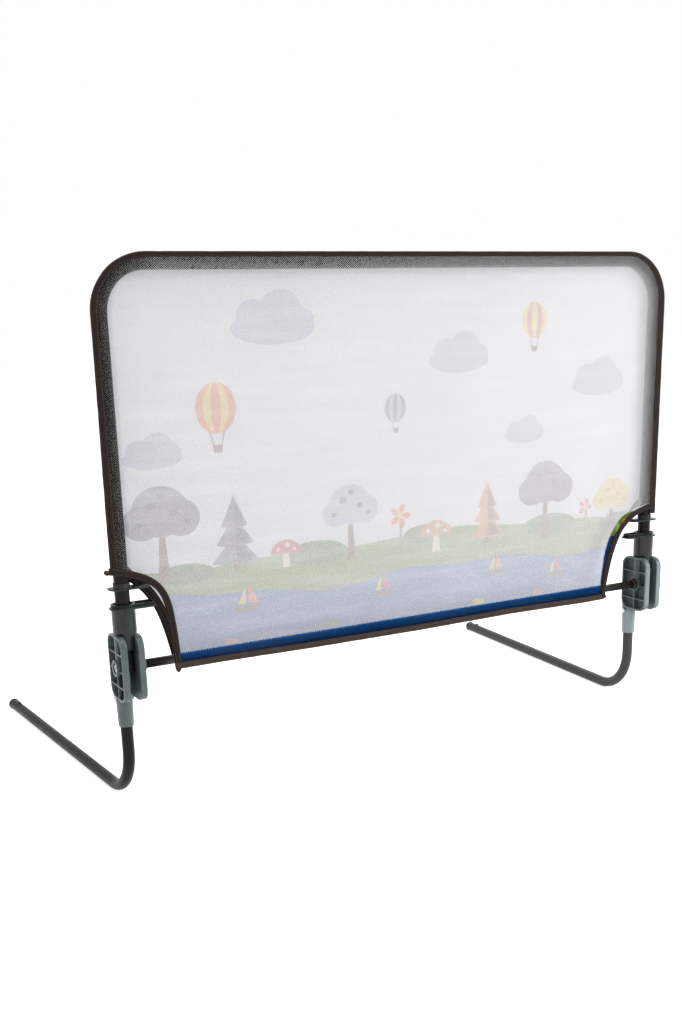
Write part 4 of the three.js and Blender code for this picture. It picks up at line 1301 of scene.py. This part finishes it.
def sewn_tape(name, stations, section, seed):
    """A tape along stations of (place, across, out), with small sewn waves; UVs run along it."""
    count = len(section)
    points, lengths, run = [], [], 0.0
    for k, (place, across, out) in enumerate(stations):
        if k:
            run += (place - stations[k - 1][0]).length
        lengths.append(run)
        swell = 1 + sewn_swell * noise.noise(Vector((run * swells_per_metre, seed, 0)))
        slide = sewn_slide * noise.noise(Vector((run * slides_per_metre, seed, 7)))
        points += [place + across * (a * swell + slide) + out * b * swell for a, b in section]
    faces = [
        (k * count + j, k * count + (j + 1) % count, (k + 1) * count + (j + 1) % count, (k + 1) * count + j)
        for k in range(len(stations) - 1) for j in range(count)
    ]
    last = (len(stations) - 1) * count
    faces += [tuple(range(count))[::-1], tuple(range(last, last + count))]
    piece = cloth_piece(name, points, faces, [(run, a) for run in lengths for a, _ in section])
    clear_selection()
    bpy.context.view_layer.objects.active = piece
    piece.select_set(True)
    bpy.ops.object.mode_set(mode="EDIT")
    return end_edit(piece, tape_edge_angle)


def frame_line(left_end, right_end):
    """Stations of the frame's centre line: place in X and Z, and the way outward."""
    up = evenly(np.array([(-upright_x, left_end), (-upright_x, corner_z)]), station_gap)[:-1]
    turns = np.linspace(0, math.pi / 2, 16)
    left = [((-corner_x - corner_radius * math.cos(a), corner_z + corner_radius * math.sin(a)),
             (-math.cos(a), math.sin(a))) for a in turns]
    right = [((corner_x + corner_radius * math.sin(a), corner_z + corner_radius * math.cos(a)),
              (math.sin(a), math.cos(a))) for a in turns]
    top = evenly(np.array([(-corner_x, top_height), (corner_x, top_height)]), station_gap)[1:-1]
    down = evenly(np.array([(upright_x, corner_z), (upright_x, right_end)]), station_gap)[1:]
    return ([(tuple(p), (-1.0, 0.0)) for p in up] + left + [(tuple(p), (0.0, 1.0)) for p in top]
            + right + [(tuple(p), (1.0, 0.0)) for p in down])


piping_stations = []
for (x, z), (ox, oz) in frame_line(piping_ends[-1], piping_ends[1]):
    outward, near = Vector((ox, 0, oz)), Vector((0, -1, 0))
    rise = smooth_step(z, side_foot, corner_z)
    on_left = np.multiply(piping_left, rise) + np.multiply(piping_left_foot, 1 - rise)
    beside = piping_right if ox > 0 else on_left
    inner_edge, outer_edge, nearer = np.multiply(beside, ox * ox) + np.multiply(piping_top, 1 - ox * ox)
    place = Vector((x, hinge_y, z)) + outward * (inner_edge + outer_edge) / 2 + near * nearer
    piping_stations.append((place, outward * (outer_edge - inner_edge) / piping_width, near))
piping = sewn_tape("edge_binding", piping_stations, tape_section(piping_width, piping_thickness), 5)


def woven_tape(name, dark, light, worn_tone, stitch_line):
    """Brown grosgrain tape: cross ribs, a fuzzy surface and a line of stitches along it."""
    finish, tree, shader = new_finish(name)
    place = cloth_place(tree)
    apart = add_node(tree, "ShaderNodeSeparateXYZ", Vector=place)
    ribs = calculated(tree, "SINE", calculated(tree, "MULTIPLY", apart.outputs[0], 2 * math.pi / rib_pitch))
    raised = calculated(tree, "MULTIPLY_ADD", ribs, 0.5, 0.5)
    fuzz = patterned(tree, place, 900.0, 2.0)
    worn = patterned(tree, place, 60.0, 4.0)
    colour = mixed_colour(tree, between(tree, fuzz, 0.3, 0.7, 0.0, 1.0), dark, light)
    lightened = mixed_colour(tree, between(tree, worn, 0.5, 0.8, 0.0, 0.4), colour, worn_tone)
    ribbed = mixed_colour(tree, between(tree, raised, 0.0, 1.0, 0.45, 0.0), lightened, tone(20, 16, 14))
    off_centre = calculated(tree, "ABSOLUTE", apart.outputs[1])
    off_line = calculated(tree, "ABSOLUTE", calculated(tree, "SUBTRACT", off_centre, stitch_line))
    on_line = between(tree, off_line, *stitch_edge, 1.0, 0.0)
    dashes = between(tree, calculated(tree, "SINE", calculated(
        tree, "MULTIPLY", apart.outputs[0], 2 * math.pi / stitch_pitch)), -0.5, -0.3, 0.0, 1.0)
    stitches = calculated(tree, "MULTIPLY", on_line, dashes)
    woven = bumped(tree, raised, 0.0002, 0.6)
    set_inputs(shader, Base_Color=mixed_colour(tree, stitches, ribbed, tone(84, 66, 56)),
               Roughness=between(tree, fuzz, 0.3, 0.7, 0.75, 0.95),
               Normal=bumped(tree, stitches, 0.0003, 0.7, woven),
               Sheen_Weight=0.05, Sheen_Roughness=0.5, Specular_IOR_Level=0.25)
    return finish


brown_tape = woven_tape("brown_grosgrain", tone(25, 15, 12), tone(38, 24, 19), tone(68, 48, 40), 0.0029)
piping.data.materials.append(brown_tape)
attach(piping, "rail")
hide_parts("piping_tape")

# Tape of the room side.
# The same brown tape, folded over the net and the facing along both cut-outs, and a paler,
# worn one over the pocket along the bottom, whose right end sticks out past the cut-out.
tape_thickness = 0.003
left_tape_width, right_tape_width, bottom_width = 0.0092, 0.008, 0.0086
tape_step = 0.004
near_tape_y = hinge_y - 0.0115
tip_y = near_tape_y - 0.0004
bottom_y = near_tape_y + 0.0005
tape_ends = {-1: (-0.4485, 0.3240), 1: (0.434, 0.3215)}  # upper ends, across and up
left_inward = 0.0006
tip_inward = 0.0005
tip_z = 0.1815
tip_heights = (0.0125, 0.0085, 0.0055, 0.003, 0.0012, 0.0)
bottom_z = 0.1892
bottom_sag = 0.0018
bottom_overhang = 0.0065


def plane_stations(line, y, out_sign=-1):
    """Stations of a tape that lies upright along the bed's side, for a line given across and up."""
    line = np.asarray(line, float)
    along = np.gradient(line, axis=0)
    along /= np.linalg.norm(along, axis=1)[:, None]
    return [
        (Vector((x, y, z)), Vector((-az, 0, ax)), Vector((0, out_sign, 0)))
        for (x, z), (ax, az) in zip(line, along)
    ]


def tapered(stations, first_shares, last_shares):
    """The stations with the tape's width times a share at each of the first and last ones."""
    made = list(stations)
    for order, shares in ((1, first_shares), (-1, last_shares)):
        for k, share in enumerate(shares):
            at = k if order == 1 else len(made) - 1 - k
            place, across, out = made[at]
            made[at] = (place, across * share, out * math.sqrt(share))
    return made


def room_side_tape(name, line, y, width, seed, last_shares, finish):
    """A tape of the room side along a line given across and up, drawn in at its far end."""
    stations = tapered(plane_stations(evenly(line, tape_step), y), (), last_shares)
    piece = sewn_tape(name, stations, tape_section(width, tape_thickness), seed)
    piece.data.materials.append(finish)
    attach(piece, "rail")
    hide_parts("edge_tape_near")
    return piece


left_x, right_x = -near_cuts[-1][0], near_cuts[1][0]
tip_line = np.array([(left_x + tip_inward, tip_z + rise) for rise in tip_heights])
left_line = np.vstack([[tape_ends[-1]], left_edge[1:-1] + (left_inward, 0.0),
                       (left_x + left_inward, near_foot), tip_line[:2]])
right_line_down = np.vstack([[tape_ends[1]], right_edge[1:-1], (right_x, near_foot),
                             (right_x, bottom_z - bottom_sag)])
# The bottom tape's places across, and how far it sags there.
bottom_sags = (
    (left_x, -0.0004), (left_x + 0.06, -0.0006), (-0.17, 0.0012), (0.0, 0.0018), (0.17, 0.0002),
    (0.3, 0.0022), (right_x, bottom_sag), (right_x + bottom_overhang, bottom_sag + 0.0003),
)
bottom_line = np.array([(x, bottom_z - sag) for x, sag in bottom_sags])
pale_tape = woven_tape("pale_grosgrain", tone(56, 44, 38), tone(76, 62, 54), tone(112, 97, 87), 0.0021)
left_tape = room_side_tape("cut_out_tape_near_left", left_line, near_tape_y, left_tape_width, 8,
                           (), brown_tape)
tape_tip = room_side_tape("tape_tip", tip_line, tip_y, left_tape_width, 11,
                          (0.25, 0.5, 0.75, 0.94), pale_tape)
right_tape = room_side_tape("cut_out_tape_near_right", right_line_down, near_tape_y, right_tape_width, 9,
                            (0.8,), brown_tape)
bottom_tape = room_side_tape("bottom_tape", bottom_line, bottom_y, bottom_width, 10,
                             (0.35, 0.75), pale_tape)

# The left tape's free end beside the upright is rolled up and sewn.
roll_x, roll_z = -0.4510, 0.3228
roll_radius = 0.0018
roll_thickness = 0.0028
roll_width = 0.006
roll_turns = np.linspace(0.2, 2 * math.pi - 0.1, 22)
roll_stations = [
    (Vector((roll_x + roll_radius * math.cos(a), near_tape_y, roll_z + roll_radius * math.sin(a))),
     Vector((0, 1, 0)), Vector((math.cos(a), 0, math.sin(a)))) for a in roll_turns
]
tape_roll = sewn_tape("tape_end_roll", roll_stations, tape_section(roll_width, roll_thickness), 14)
tape_roll.data.materials.append(brown_tape)
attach(tape_roll, "rail")
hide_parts("edge_tape_near")

# Tapes of the bed side.
# Brown tape folded over the printed panel's cut-outs beside the uprights.
far_tape_width = 0.0135
far_inward = 0.0025
far_tape_y = hinge_y + 0.0112
far_tape_step = 0.005
far_tape_start = (1.5, 1.5, 1.5, 1.45, 1.4, 1.3, 1.2, 1.1)  # wider where they start
for side, sign in sides.items():
    line = evenly(shifted(far_edges[sign][1:], -sign * far_inward), far_tape_step)
    stations = tapered(plane_stations(line, far_tape_y, 1), far_tape_start, ())
    piece = sewn_tape("cut_out_tape_far_" + side, stations,
                      tape_section(far_tape_width, tape_thickness), 12 + sign)
    piece.data.materials.append(brown_tape)
    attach(piece, "rail")
    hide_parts("edge_tape_far_" + side)


bpy.context.scene.view_settings.view_transform = "Standard"
